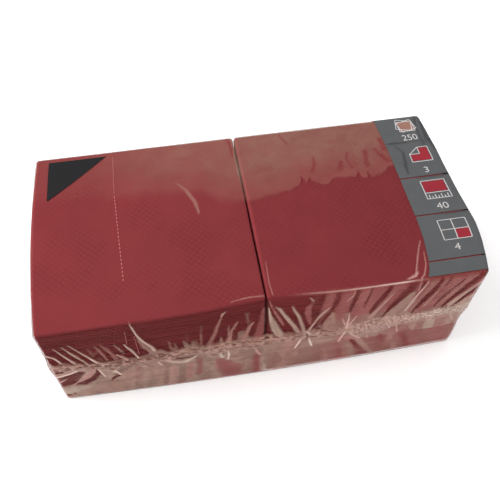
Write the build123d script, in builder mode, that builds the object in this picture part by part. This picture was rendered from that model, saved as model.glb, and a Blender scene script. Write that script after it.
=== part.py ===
import os
from math import cos, radians, sin

from build123d import *

# A catering pack of folded paper napkins: two stacks side by side in one clear film wrap.
# Millimetres. X runs along the pack, Y to its back, Z up. The origin is under its middle.

# The napkin: a square three-ply sheet folded in four, with its fold to the front
napkin_side = 200.0
napkin_thickness = 1.03
napkin_spacing = 0.05
napkins_per_stack = 125
fold_nose = 0.45
stagger = 0.35
left_stagger_step = 1.9
right_stagger_step = 2.6

# The stacks: the tight film bends the outermost napkins over at their rims
stack_gap = 3.0
upper_rim_napkins = 5
upper_rim_drop = 1.8
upper_rim_width = 3.6
lower_rim_napkins = 3
lower_rim_drop = 1.2
lower_rim_width = 3.0

# The film wrap, and the valley where it sinks between the two stacks
film_wall = 0.25
film_slack_side = 0.9
film_slack_top = 0.1
end_bow = 4.0
upper_shoulder_radius = 3.2
upper_cavity_chamfer = 2.4
lower_shoulder_chamfer = 2.0
lower_cavity_chamfer = 1.85
valley_depth = 2.2
groove_half_width = 2.4
groove_depth = 1.0

# The weld across the front and the back: a crimped ribbon, level but for its two ends
weld_height_share = 0.51
weld_end_rise = 6.0
weld_end_length = 44.0
weld_margin = 4.0
weld_band = 3.4
weld_root = 0.5
crimp_pitch = 6.0
crimp_proud = 2.2

# The gathers that fan out from the weld, the creases to the corners, the loose film edge
gather_bite = 0.07
gather_count = 38
gather_length = 54.0
gather_short_share = 0.5
gather_width = 8.0
gather_proud = 1.9
gather_lean = 40.0
gather_lean_wander = 15.0
gather_step = 2.4
crease_width = 5.0
crease_proud = 1.1
crease_slant = 45.0
tail_depth = 27.0
tail_wander = 4.0
tail_thickness = 0.25
tail_start_share = 0.12
tail_end_share = 0.96
tail_steps = 12

# The print on the film: a grey band in five panels at one end, and a plain dark corner
ink_thickness = 0.08
band_width = 49.0
band_wrap = 14.0
panel_line = 1.4
panel_line_shares = (-0.81, -0.29, 0.18, 0.65)
band_front_share = -0.965
corner_inset_side = 13.5
corner_inset_back = 7.0
corner_length = 57.0
corner_width = 48.0

cut_overrun = 2.0

napkin_pitch = napkin_thickness + napkin_spacing
stack_height = napkins_per_stack * napkin_pitch - napkin_spacing
stack_offset = (napkin_side + stack_gap) / 2
cavity_length = 2 * napkin_side + stack_gap + 2 * film_slack_side
cavity_depth = napkin_side + 2 * film_slack_side
cavity_height = stack_height + 2 * film_slack_top
pack_length = cavity_length + 2 * film_wall
pack_depth = cavity_depth + 2 * film_wall
pack_height = cavity_height + 2 * film_wall
stack_base = film_wall + film_slack_top
valley_half_width = stack_gap / 2 + upper_rim_width
half_weld = pack_length / 2 - weld_margin


def pressed_napkin(top_drop, under_drop, rim_width):
    """An outer napkin, its underside on Z zero: its rim is bent down and pinched thinner."""
    flat_side = napkin_side - 2 * rim_width
    with BuildPart() as napkin:
        with BuildSketch(Plane.XY.offset(napkin_thickness)):
            Rectangle(flat_side, flat_side)
        with BuildSketch(Plane.XY.offset(napkin_thickness - top_drop)):
            Rectangle(napkin_side, napkin_side)
        loft()
        with BuildSketch(Plane.XY.offset(-under_drop)):
            Rectangle(napkin_side, napkin_side)
        extrude(amount=napkin_thickness - top_drop + under_drop)
        if under_drop > 0:
            with BuildSketch(Plane.XY.offset(-under_drop)):
                Rectangle(napkin_side, napkin_side)
            with BuildSketch():
                Rectangle(flat_side, flat_side)
            loft(mode=Mode.SUBTRACT)
    return napkin.part


def napkin_stack(stagger_step):
    """One stack: flat napkins in the middle, pressed ones at both ends of the pile."""
    pieces = []
    for index in range(upper_rim_napkins):
        height = stack_base + (napkins_per_stack - 1 - index) * napkin_pitch
        top_drop = upper_rim_drop * (1 - index / upper_rim_napkins)
        under_drop = upper_rim_drop * (1 - (index + 1) / upper_rim_napkins)
        pieces.append(Pos(0, 0, height) * pressed_napkin(top_drop, under_drop, upper_rim_width))

    for index in range(lower_rim_napkins):
        top_of_napkin = stack_base + index * napkin_pitch + napkin_thickness
        top_drop = lower_rim_drop * (1 - index / lower_rim_napkins)
        under_drop = lower_rim_drop * (1 - (index + 1) / lower_rim_napkins)
        upturned = mirror(pressed_napkin(top_drop, under_drop, lower_rim_width), about=Plane.XY)
        pieces.append(Pos(0, 0, top_of_napkin) * upturned)

    places = []
    for index in range(lower_rim_napkins, napkins_per_stack - upper_rim_napkins):
        shift = stagger * sin(index * stagger_step)
        places.append((shift, stack_base + index * napkin_pitch))
    front = -napkin_side / 2
    with BuildPart() as middle:
        with BuildSketch(Plane.YZ.offset(-napkin_side / 2)):
            with Locations(*places):
                Polygon(
                    (front + fold_nose, 0),
                    (-front, 0),
                    (-front, napkin_thickness),
                    (front + fold_nose, napkin_thickness),
                    (front, napkin_thickness / 2),
                    align=None,
                )
        extrude(amount=napkin_side)
    pieces.extend(middle.part.solids())
    return pieces


def bowed_block(length, depth, height, lift):
    """A pack-shaped block whose two ends bow out in plan."""
    with BuildPart() as block:
        with BuildSketch(Plane.XY.offset(lift)):
            with BuildLine():
                front_right = (length / 2, -depth / 2)
                back_right = (length / 2, depth / 2)
                back_left = (-length / 2, depth / 2)
                front_left = (-length / 2, -depth / 2)
                Line(front_left, front_right)
                ThreePointArc(front_right, (length / 2 + end_bow, 0), back_right)
                Line(back_right, back_left)
                ThreePointArc(back_left, (-length / 2 - end_bow, 0), front_left)
            make_face()
        extrude(amount=height)
    return block.part


def wrapped_block(length, depth, height, upper_radius):
    """The block that the film closes round: rounded at its upper rim, bevelled at its lower one."""
    with BuildPart() as block:
        add(bowed_block(length, depth, height, 0))
        fillet(block.edges().group_by(Axis.Z)[-1], radius=upper_radius)
        chamfer(block.edges().group_by(Axis.Z)[0], length=lower_shoulder_chamfer)
    return block.part


def valley(top):
    """What the film leaves open over the gap between the stacks."""
    with BuildPart() as trough:
        with BuildSketch(Plane.XZ.offset(-pack_depth / 2 - cut_overrun)):
            Polygon(
                (-valley_half_width, top),
                (0, top - valley_depth),
                (valley_half_width, top),
                (valley_half_width, top + cut_overrun),
                (-valley_half_width, top + cut_overrun),
                align=None,
            )
        extrude(amount=pack_depth + 2 * cut_overrun)
    return trough.part


def grooves(face):
    """The same sinking on the front and back faces, from over the weld to the top."""
    with BuildPart() as pair:
        with BuildSketch(Plane.XY.offset(weld_height(0) + weld_band / 2)):
            Polygon(
                (-groove_half_width, -face),
                (0, groove_depth - face),
                (groove_half_width, -face),
                (groove_half_width, -face - cut_overrun),
                (-groove_half_width, -face - cut_overrun),
                align=None,
            )
        extrude(amount=pack_height)
        mirror(about=Plane.XZ)
    return pair.part


def weld_height(x):
    """The weld runs level, and climbs over its last stretch towards each end of the pack."""
    past = max(0, abs(x) - (half_weld - weld_end_length)) / weld_end_length
    return weld_height_share * pack_height + weld_end_rise * past


def gather(x, lean, length, width, proud):
    """One gather of the film: a ridge on the front face, from the weld to a point."""
    heading = Vector(sin(radians(lean)), 0, cos(radians(lean)))
    across = Vector(cos(radians(lean)), 0, -sin(radians(lean)))
    root = Plane(
        origin=(x, -pack_depth / 2, weld_height(x)),
        x_dir=across,
        z_dir=heading,
    )
    tip = root.origin + heading * length + Vector(0, gather_bite, 0)
    with BuildPart() as ridge:
        with BuildSketch(root) as section:
            Polygon(
                (-width / 2, gather_bite),
                (0, -proud),
                (width / 2, gather_bite),
                align=None,
            )
        loft(sections=[section.sketch.faces()[0], Vertex(*tip)])
    return ridge.part


def gathers():
    """The gathers of one face: they lean outwards more and more towards its ends."""
    ridges = []
    widest_reach = gather_length * sin(radians(gather_lean + gather_lean_wander))
    for index in range(gather_count):
        share = 2 * (index + 1 / 2) / gather_count - 1
        x = share * (half_weld - widest_reach)
        sway = sin(index * gather_step)
        lean = gather_lean * share + gather_lean_wander * sway
        length = gather_length * (1 - gather_short_share * (1 + sway) / 2)
        ridges.append(gather(x, lean, length, gather_width, gather_proud))
        if index % 3:
            ridges.append(gather(x, 180 - lean, length, gather_width, gather_proud))
    return ridges


def corner_creases():
    """Four long creases, from the weld towards the corners, where the ends were tucked in."""
    rise = pack_height - upper_shoulder_radius - band_wrap - weld_height(0)
    reach = rise / cos(radians(crease_slant))
    creases = []
    for side in (-1, 1):
        x = side * (half_weld - reach * sin(radians(crease_slant)))
        for lean in (crease_slant, 180 - crease_slant):
            creases.append(gather(x, side * lean, reach, crease_width, crease_proud))
    return creases


def weld_ribbon(x_start, x_end):
    """A straight stretch of the welded ribbon, crimped in zigzags along its free edge."""
    start = Vector(x_start, -pack_depth / 2, weld_height(x_start))
    run = Vector(x_end, -pack_depth / 2, weld_height(x_end)) - start
    crimps = round(run.length / crimp_pitch)
    zigzag = [(run.length, gather_bite), (0, gather_bite)]
    for index in range(crimps):
        zigzag.append((run.length * index / crimps, -weld_root))
        zigzag.append((run.length * (index + 1 / 2) / crimps, -crimp_proud))
    zigzag.append((run.length, -weld_root))
    along = Plane(origin=start, x_dir=run, z_dir=Vector(0, -1, 0).cross(run) * -1)
    with BuildPart() as ribbon:
        with BuildSketch(along):
            Polygon(*zigzag, align=None)
        extrude(amount=weld_band / 2, both=True)
    return ribbon.part


def film_tail():
    """The loose edge of the film past the weld, lying on the lower half of the face."""
    start = tail_start_share * pack_length / 2
    run = tail_end_share * pack_length / 2 - start
    upper = []
    lower = []
    for index in range(tail_steps + 1):
        x = start + run * index / tail_steps
        upper.append((x, weld_height(x)))
        lower.append((x, weld_height(x) - tail_depth + tail_wander * sin(index)))
    with BuildPart() as tail:
        with BuildSketch(Plane.XZ.offset(pack_depth / 2 - gather_bite)):
            Polygon(*upper, *reversed(lower), align=None)
        extrude(amount=tail_thickness + gather_bite)
    return tail.part


def panel_room(y_low, y_high):
    """The space over one panel of the band: past the top, the end and the back rim."""
    left = pack_length / 2 - band_width
    length = band_width + end_bow + cut_overrun
    drop = upper_shoulder_radius + band_wrap
    with BuildPart() as room:
        with BuildSketch(Plane.XY.offset(pack_height - drop)):
            with Locations((left, y_low)):
                Rectangle(length, y_high - y_low, align=Align.MIN)
        extrude(amount=drop + cut_overrun)
    return room.part


os.makedirs("parts", exist_ok=True)

left_pile = napkin_stack(left_stagger_step)
right_pile = napkin_stack(right_stagger_step)

with BuildPart() as left_napkins:
    with Locations((-stack_offset, 0, 0)):
        add(left_pile)

with BuildPart() as right_napkins:
    with Locations((stack_offset, 0, 0)):
        add(right_pile)

outer = wrapped_block(pack_length, pack_depth, pack_height, upper_shoulder_radius)

with BuildPart() as cavity:
    add(bowed_block(cavity_length, cavity_depth, cavity_height, film_wall))
    chamfer(cavity.edges().group_by(Axis.Z)[-1], length=upper_cavity_chamfer)
    chamfer(cavity.edges().group_by(Axis.Z)[0], length=lower_cavity_chamfer)
    add(valley(pack_height - film_wall), mode=Mode.SUBTRACT)
    add(grooves(cavity_depth / 2), mode=Mode.SUBTRACT)

with BuildPart() as face_relief:
    weld_bend = half_weld - weld_end_length
    add(weld_ribbon(-half_weld, -weld_bend))
    add(weld_ribbon(-weld_bend, weld_bend))
    add(weld_ribbon(weld_bend, half_weld))
    add(film_tail())
    add(gathers() + corner_creases())

with BuildPart() as film_wrap:
    add(outer)
    add([face_relief.part, mirror(face_relief.part, about=Plane.XZ)])
    add(valley(pack_height), mode=Mode.SUBTRACT)
    add(grooves(pack_depth / 2), mode=Mode.SUBTRACT)
    add(cavity.part, mode=Mode.SUBTRACT)

with BuildPart() as panel_rooms:
    y_low = band_front_share * pack_depth / 2
    for share in panel_line_shares:
        y_high = share * pack_depth / 2 - panel_line / 2
        add(panel_room(y_low, y_high))
        y_low = y_high + panel_line
    add(panel_room(y_low, pack_depth / 2 + cut_overrun))

with BuildPart() as grey_band:
    add(
        wrapped_block(
            pack_length + 2 * ink_thickness,
            pack_depth + 2 * ink_thickness,
            pack_height + ink_thickness,
            upper_shoulder_radius + ink_thickness,
        )
    )
    add(panel_rooms.part, mode=Mode.INTERSECT)
    add(outer, mode=Mode.SUBTRACT)

with BuildPart() as dark_corner:
    with BuildSketch(Plane.XY.offset(pack_height)):
        corner_x = corner_inset_side - pack_length / 2
        corner_y = pack_depth / 2 - corner_inset_back
        Polygon(
            (corner_x, corner_y),
            (corner_x, corner_y - corner_width),
            (corner_x + corner_length, corner_y),
            align=None,
        )
    extrude(amount=ink_thickness)

left_napkins.part.label = "left_napkins"
right_napkins.part.label = "right_napkins"
film_wrap.part.label = "film_wrap"
grey_band.part.label = "grey_band"
dark_corner.part.label = "dark_corner"

export_step(left_napkins.part, "parts/left_napkins.step")
export_step(right_napkins.part, "parts/right_napkins.step")
export_step(film_wrap.part, "parts/film_wrap.step")
export_step(grey_band.part, "parts/grey_band.step")
export_step(dark_corner.part, "parts/dark_corner.step")
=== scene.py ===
from math import cos, pi, radians, sin

import bpy
import numpy as np
from mathutils import Matrix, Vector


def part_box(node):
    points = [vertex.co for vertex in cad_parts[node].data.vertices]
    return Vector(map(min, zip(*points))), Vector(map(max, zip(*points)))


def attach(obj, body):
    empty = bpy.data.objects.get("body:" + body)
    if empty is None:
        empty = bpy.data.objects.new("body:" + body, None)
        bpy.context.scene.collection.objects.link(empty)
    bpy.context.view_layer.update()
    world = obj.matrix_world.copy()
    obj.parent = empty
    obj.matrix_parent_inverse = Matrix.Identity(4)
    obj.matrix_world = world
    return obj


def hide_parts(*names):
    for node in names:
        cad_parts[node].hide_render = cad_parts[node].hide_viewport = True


# Two stacks of folded paper napkins in one clear film wrap, with a grey band printed on it.
# Shapes are worked out in millimetres in the frame's axes, and made into metres by add_piece.
# The film and its print start as points on the sharp box of the pack, and shape_film folds them.

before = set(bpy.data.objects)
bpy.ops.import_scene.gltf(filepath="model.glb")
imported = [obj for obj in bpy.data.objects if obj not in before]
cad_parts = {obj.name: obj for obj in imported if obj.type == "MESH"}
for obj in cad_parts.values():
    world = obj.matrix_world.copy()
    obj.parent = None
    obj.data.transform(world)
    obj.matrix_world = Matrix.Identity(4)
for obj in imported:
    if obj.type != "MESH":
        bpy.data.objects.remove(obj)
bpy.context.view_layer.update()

MM = 0.001
near_zero = 1e-6


def node_box(name):
    """The lowest and the highest corner of a node, in millimetres."""
    low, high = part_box(name)
    return np.array(low) / MM, np.array(high) / MM


left_low, left_high = node_box("left_napkins")
right_low, right_high = node_box("right_napkins")
band_low, _ = node_box("grey_band")
corner_low, corner_high = node_box("dark_corner")
_, film_high = node_box("film_wrap")

# The napkins and the stacks
napkins_per_stack = 125
napkin_side = right_high[0] - right_low[0]
stack_base = left_low[2]
stack_top = left_high[2]
napkin_gap = 0.05
napkin_pitch = (stack_top - stack_base + napkin_gap) / napkins_per_stack
napkin_thickness = napkin_pitch - napkin_gap
napkin_corner = 2.5
napkin_drift = 0.28
napkin_ripple = 0.16
gap_closing = 0.7
gap_closing_reach = 6
fullness_start = 150
fullness_length = 50
upper_pressed = 3
upper_drop = 0.7
lower_pressed = 3
lower_drop = 1.2
fold_inset = 0.34

# The film's outer surface
film_slack = 1.15
film_length = right_high[0] - left_low[0] + 2 * film_slack
film_depth = napkin_side + 2 * film_slack
film_height = film_high[2]
upper_round = 2.6
lower_round = 1.4
side_round = 3.2
left_bow = 3.7
right_bow = 5.6
right_bulge = 6.0
right_base_retreat = 1.5
right_waist = 3.5
back_bulge = 2.2
valley_depth = 1.3
valley_half_width = 2.6
weld_height_share = 0.51
weld_end_rise = 6.0
weld_end_length = 44.0
weld_margin = 4.0
weld_tent = 2.4
weld_tent_reach = 20.0
front_retreat = 4.5
front_retreat_reach = 48.0
base_bulge = 3.4
base_ring_share = (0.955, 0.915)
base_look = 0.1
unseen_share = 1e-4

# The print
band_left = film_length / 2 - 49.0
band_drop = film_height - band_low[2]
panel_line = 1.4
panel_line_shares = (-0.81, -0.29, 0.18, 0.65)
band_front = -0.965 * film_depth / 2
ink_lift = 0.2
field_lift = 0.32
mark_lift = 0.42
cut_lift = 0.15

# sRGB colours of the paper, the inks, and the film's painted sheen and painted glints
napkin_red = (145, 61, 64)
napkin_deep_red = (129, 53, 57)
band_grey = (81, 82, 83)
band_deep_grey = (74, 75, 76)
corner_black = (20, 19, 21)
corner_deep_black = (14, 13, 15)
mark_pale = (180, 176, 174)
mark_cool_pale = (188, 188, 192)
mark_red = (138, 36, 46)
mark_deep_red = (120, 34, 46)
mark_tan = (142, 104, 92)
mark_deep_tan = (128, 92, 80)
sheen_beige = (188, 164, 140)
sheen_pink = (206, 105, 100)
glint_white = (222, 196, 190)
perforation_pink = (176, 98, 98)
perforation_deep_pink = (150, 90, 90)

# Linear tints: what embossing, a napkin's edge (darkened at random, and partly as painted shade) and painted
# shade in the print's folds take off, and the film's gloss
emboss_tint = (0.88, 0.83, 0.83, 1)
edge_tone_and_shade_tint = (0.68, 0.66, 0.66, 1)
fold_shade_tint = (0.55, 0.56, 0.58, 1)
gloss_tint = (0.36, 0.27, 0.25, 1)


def linear(colour):
    """An sRGB colour of 0 to 255 as the linear values that a shader takes."""
    shares = [channel / 255 for channel in colour]
    return tuple(s / 12.92 if s <= 0.04045 else ((s + 0.055) / 1.055) ** 2.4 for s in shares) + (1,)


def smooth_step(low, high, value):
    """From 0 at low to 1 at high, with level ends. Works on arrays, and downwards too."""
    share = np.clip((value - low) / (high - low), 0, 1)
    return share * share * (3 - 2 * share)


def hump(value, reach):
    """A smooth hump: 1 where the value is 0, and next to nothing past twice the reach."""
    return np.exp(-((value / reach) ** 2))


def lumps(u, v, seed):
    """Smooth noise from 0 to 1 over a plane, about one lump to each unit."""
    size = 64
    heights = np.random.default_rng(seed).random((size, size))
    column, row = np.floor(u).astype(int), np.floor(v).astype(int)
    across, along = u - column, v - row
    across = across * across * (3 - 2 * across)
    along = along * along * (3 - 2 * along)
    near = heights[column % size, row % size] * (1 - across)
    near += heights[(column + 1) % size, row % size] * across
    far = heights[column % size, (row + 1) % size] * (1 - across)
    far += heights[(column + 1) % size, (row + 1) % size] * across
    return near * (1 - along) + far * along


# The film's folds, with their painted sheen and painted glints


def weld_height(x):
    """The weld runs level, and climbs over its last stretch towards each end of the pack."""
    bend = film_length / 2 - weld_margin - weld_end_length
    past = np.maximum(0, np.abs(x) - bend) / weld_end_length
    ripple = 0.9 * np.sin(x / 17.0) + 0.5 * np.sin(x / 6.1 + 1.0)
    return weld_height_share * film_height + weld_end_rise * past + ripple


def wedge(x, z, start, end, start_width, end_width):
    """A tapering stripe from start to end on a face: 1 along its middle, 0 at its sides."""
    run = np.subtract(end, start)
    length = np.hypot(*run)
    along = ((x - start[0]) * run[0] + (z - start[1]) * run[1]) / length**2
    aside = ((x - start[0]) * run[1] - (z - start[1]) * run[0]) / length
    half = np.maximum(start_width + (end_width - start_width) * along, 0.3) / 2
    body = smooth_step(1.0, 0.55, np.abs(aside) / half)
    ends = smooth_step(-0.06, 0.03, along) * smooth_step(1.04, 0.94, along)
    return body * ends, aside / half


# The folds of the front face were measured. Each is a route of points (X, Z, width),
# after its painted sheen, its pinkness and its painted glint, and is laid over the ones before it.
upper_left_folds = (
    (0.30, 0.2, 0.00, ((-202, 78, 12), (-186, 76, 7), (-160, 74, 5), (-120, 74, 6), (-100, 80, 10))),
    (0.45, 0.2, 0.10, ((-200, 86, 3), (-198, 80, 3), (-194, 76, 3))),
    (0.55, 0.3, 0.55, ((-203, 105, 2), (-198, 99, 2.6), (-194, 95, 2.4), (-191.5, 89, 2), (-188, 79, 2.2))),
    (0.30, 0.3, 0.00, ((-190, 84, 3), (-186, 80, 7), (-184, 76, 7))),
    (0.50, 0.4, 0.28, ((-190.5, 111, 1), (-187, 101, 1.8), (-182.5, 90, 2.4), (-178.5, 82, 3.2))),
    (0.48, 0.3, 0.05, ((-181, 84, 2), (-177, 79, 5), (-174, 76, 6))),
    (0.45, 0.3, 0.20, ((-183.5, 112, 1), (-179.5, 102, 2), (-175, 92, 3.8), (-171, 84, 2.8),
                       (-167.5, 76, 2))),
    (0.46, 0.4, 0.24, ((-177.5, 114, 1), (-172, 102, 1.6), (-167, 92, 3), (-163, 84, 2.6), (-158, 76, 4))),
    (0.60, 0.4, 0.60, ((-163.5, 85, 1.5), (-162, 82, 1.8), (-160, 78, 1.2))),
    (0.22, 0.7, 0.00, ((-163, 103, 1.4), (-161, 95, 3), (-160, 88, 2.4))),
    (0.28, 0.5, 0.05, ((-160, 91, 1.4), (-156, 94, 1.2))),
    (0.32, 0.7, 0.05, ((-156.5, 106, 1.2), (-154, 99, 2.4), (-151.5, 89, 3), (-149, 78, 2.6))),
    (0.32, 0.7, 0.02, ((-151.5, 107, 1.6), (-147, 98, 4), (-144, 89, 3.6), (-141, 78, 6))),
    (0.40, 0.3, 0.05, ((-139, 103, 1.2), (-136, 95, 3), (-133, 86, 1.8))),
    (0.46, 0.5, 0.15, ((-140, 86, 1.4), (-136, 81, 4), (-132, 75, 5))),
    (0.55, 0.4, 0.40, ((-130.5, 102, 1), (-128.5, 96, 2.4), (-125, 88, 3.4), (-121, 75, 2))),
    (0.40, 0.3, 0.00, ((-117, 112, 2), (-115.5, 104, 5), (-112, 94, 10), (-107, 84, 10), (-103, 76, 12))),
    (0.52, 0.3, 0.40, ((-121, 136, 0.8), (-119.5, 127, 1.6), (-117.5, 115, 2), (-113, 102, 2.2),
    (-107, 91, 3),
                       (-105, 82, 4))),
    (0.02, 0.2, 0.00, ((-116, 82, 3), (-113, 79, 2))),
    (0.10, 0.2, 0.00, ((-156, 82, 5), (-154, 78, 4))),
)

upper_middle_folds = (
    (0.46, 0.3, 0.05, ((-108, 82, 6), (-101, 80, 8), (-95, 77, 6), (-88, 74, 8))),
    (0.30, 0.5, 0.00, ((-91, 96, 0.8), (-90, 84, 4), (-86, 76, 6))),
    (0.26, 0.3, 0.00, ((-86, 91, 1), (-85, 80, 4))),
    (0.34, 0.2, 0.00, ((-78, 92, 2), (-75, 84, 6), (-73, 76, 8))),
    (0.32, 0.2, 0.00, ((-69, 88, 5), (-68, 80, 9), (-66, 76, 10))),
    (0.12, 0.6, 0.00, ((-74, 106, 1), (-74, 90, 2.4))),
    (0.26, 0.6, 0.00, ((-60, 115, 0.8), (-61, 100, 2.4), (-62, 82, 3))),
    (0.30, 0.5, 0.00, ((-66, 92, 1), (-65, 84, 2))),
    (0.36, 0.6, 0.02, ((-39, 128, 1.4), (-41, 122, 1.8), (-45, 110, 3.4), (-48, 98, 4.4), (-52, 86, 5),
                       (-55, 77, 7))),
    (0.46, 0.5, 0.20, ((-37, 129, 0.8), (-40, 126.5, 3), (-41.5, 123, 1.2))),
    (0.36, 0.4, 0.00, ((-43, 89, 1), (-43, 77, 6))),
    (0.42, 0.6, 0.05, ((-27.5, 108, 3), (-31, 100, 3.6), (-34, 92, 4.4), (-36, 80, 7))),
    (0.30, 0.7, 0.10, ((-35, 106, 1), (-36, 92, 2))),
    (0.34, 0.3, 0.00, ((-24, 90, 8), (-22, 80, 14), (-20, 74, 14))),
    (0.44, 0.6, 0.05, ((-12.5, 103, 3), (-16, 98, 4), (-19, 88, 6), (-21, 78, 8))),
    (0.24, 0.4, 0.05, ((-20, 119.5, 2.4), (-17, 119, 2.6))),
    (0.20, 0.0, 0.00, ((-18, 117, 3), (-17, 104, 3))),
    (0.28, 0.9, 0.00, ((-3, 123, 3), (-4, 105, 6), (-6, 90, 9), (-8, 78, 12))),
    (0.04, 0.2, 0.00, ((-31, 97, 1.6), (-30.5, 83, 4))),
    (0.06, 0.2, 0.00, ((-16, 83, 3), (-15.5, 76, 4))),
    (0.05, 0.2, 0.00, ((-64, 78, 2.6), (-62, 80, 2.6))),
    (0.05, 0.2, 0.00, ((-94, 79, 2.6), (-91, 78, 2.6))),
)

upper_right_folds = (
    (0.30, 0.3, 0.00, ((0, 78, 8), (16, 76, 8), (38, 76, 8), (56, 78, 12))),
    (0.30, 1.0, 0.12, ((2.5, 131, 1), (5, 122, 1.8), (9, 111, 2.8), (13, 101, 3.6), (16, 92, 2))),
    (0.56, 0.1, 0.10, ((2, 121, 1.4), (3, 112, 3), (5, 102, 6.5), (7, 94, 9), (9, 86, 10), (13, 78, 9))),
    (0.60, 0.1, 0.30, ((2.4, 120, 1), (3, 110, 1.6), (4, 100, 1.4))),
    (0.52, 0.2, 0.12, ((8.5, 121.5, 2), (12, 119, 4), (16, 109, 4), (21, 99, 5), (26, 89, 5), (30.5, 78, 6))),
    (0.48, 0.2, 0.10, ((23.5, 121, 1.4), (26, 113, 3), (30, 104, 4.4), (32, 96, 4.4), (35, 84, 4.4),
                       (37, 74, 5))),
    (0.32, 0.9, 0.00, ((41, 122, 2), (38.5, 117, 6), (38.5, 108, 8), (40, 98, 6), (41.5, 90, 4))),
    (0.40, 0.6, 0.20, ((38, 132.5, 0.8), (42, 127.5, 2.6), (43, 123, 0.8))),
    (0.34, 0.9, 0.00, ((57, 134, 9), (56, 125, 9.5), (54, 112, 9), (52, 104, 6.5))),
    (0.52, 0.4, 0.20, ((58, 113, 1.4), (52, 104, 4), (48, 96, 3.4), (45, 88, 3), (41, 79, 3))),
    (0.44, 0.4, 0.05, ((60, 106.5, 2), (62.5, 100, 6), (61.5, 92, 13), (61, 82, 17), (62, 76, 18))),
    (0.40, 0.4, 0.00, ((72, 97, 8), (84, 93, 10), (98, 91, 10), (112, 88, 10))),
    (0.34, 0.9, 0.02, ((77, 137, 7), (73, 122, 11), (70.5, 108, 10), (69, 96, 10))),
    (0.44, 0.7, 0.20, ((80, 137, 1), (78, 129, 1.8), (73.5, 121, 1.4))),
    (0.34, 0.9, 0.02, ((89, 137, 12), (87, 120, 11), (85, 106, 12), (84, 96, 14))),
    (0.34, 0.9, 0.02, ((103, 137, 12), (99, 120, 12), (95, 106, 10), (92, 96, 10))),
    (0.05, 0.5, 0.00, ((95, 135, 3), (93, 120, 3), (91, 105, 1.4))),
    (0.34, 0.8, 0.04, ((120, 137, 14), (115, 122, 10), (109, 106, 8), (105, 94, 8))),
    (0.46, 0.4, 0.16, ((117, 124, 1), (110, 108, 3), (104, 94, 5), (100, 86, 7))),
    (0.46, 0.3, 0.06, ((135, 118, 9), (132, 108, 14), (127, 97, 15), (120, 88, 16), (116, 80, 20))),
    (0.46, 0.3, 0.06, ((139, 108, 8), (137, 96, 10), (134, 86, 12))),
    (0.36, 0.6, 0.03, ((154, 137, 11), (151, 122, 9), (146, 108, 7), (142, 98, 7), (139, 88, 8))),
    (0.55, 0.4, 0.34, ((147.5, 136, 1.2), (144, 124, 2), (140, 112, 2.6), (137, 100, 2.6), (134, 89, 2.4))),
    (0.40, 0.9, 0.26, ((140.5, 140, 1.2), (140, 121, 1.4))),
    (0.34, 0.8, 0.04, ((165, 136, 9), (161, 120, 7), (157, 106, 7), (152, 94, 9), (148, 84, 11))),
    (0.44, 0.5, 0.16, ((160, 116, 1.2), (157, 104, 2), (152, 92, 2.4))),
    (0.34, 0.8, 0.02, ((176, 136, 11), (171, 122, 9), (165, 110, 8), (160, 98, 8), (157, 86, 10))),
    (0.36, 0.7, 0.06, ((190, 137, 13), (181, 120, 8.5), (175, 106, 8), (170, 95, 7), (166, 86, 7))),
    (0.50, 0.3, 0.20, ((199, 121, 4), (191, 107, 6), (185, 98, 7), (179, 88, 7))),
    (0.50, 0.3, 0.18, ((200, 100, 6), (194, 92, 7), (190, 86, 7))),
)

upper_right_clear = (
    (0.03, 0.3, 0.00, ((45.5, 136, 7), (46, 115, 8), (44.5, 98, 4), (43, 92, 1.5))),
    (0.03, 0.3, 0.00, ((65, 137, 6), (63.5, 120, 7), (61, 108, 4))),
    (0.03, 0.3, 0.00, ((62, 108, 3), (57, 101, 5), (54, 92, 3.6), (52.5, 84, 2))),
    (0.03, 0.3, 0.00, ((83, 137, 4.5), (81, 122, 6), (79, 108, 5), (78.5, 97, 2))),
    (0.02, 0.5, 0.00, ((113, 137, 6), (108, 120, 8), (103, 108, 7), (100, 98, 4.5), (99, 93, 2))),
    (0.02, 0.6, 0.00, ((134.5, 137, 13), (132, 126, 13), (125, 113, 10), (120, 103, 9), (116, 93, 4),
                       (112, 84, 1.5))),
    (0.03, 0.5, 0.00, ((144, 139, 5), (142.4, 125, 2.4))),
    (0.02, 0.4, 0.00, ((160.5, 136, 4), (156, 118, 9), (151, 106, 9), (146, 94, 6), (141.5, 82, 2))),
    (0.12, 0.6, 0.00, ((168, 135, 3), (165, 124, 1.6))),
    (0.05, 0.4, 0.00, ((182, 129, 1.6), (175, 116, 2.6), (170, 107, 4), (166, 99, 4), (163, 88, 2))),
    (0.02, 0.4, 0.00, ((197, 133, 8), (188, 118, 8.5), (182, 106, 6.5), (176, 94, 5), (170, 82, 2.4))),
    (0.02, 0.4, 0.00, ((198, 109, 4.5), (191, 98, 4.5), (187, 90, 3.6), (183, 84, 2))),
)

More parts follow.
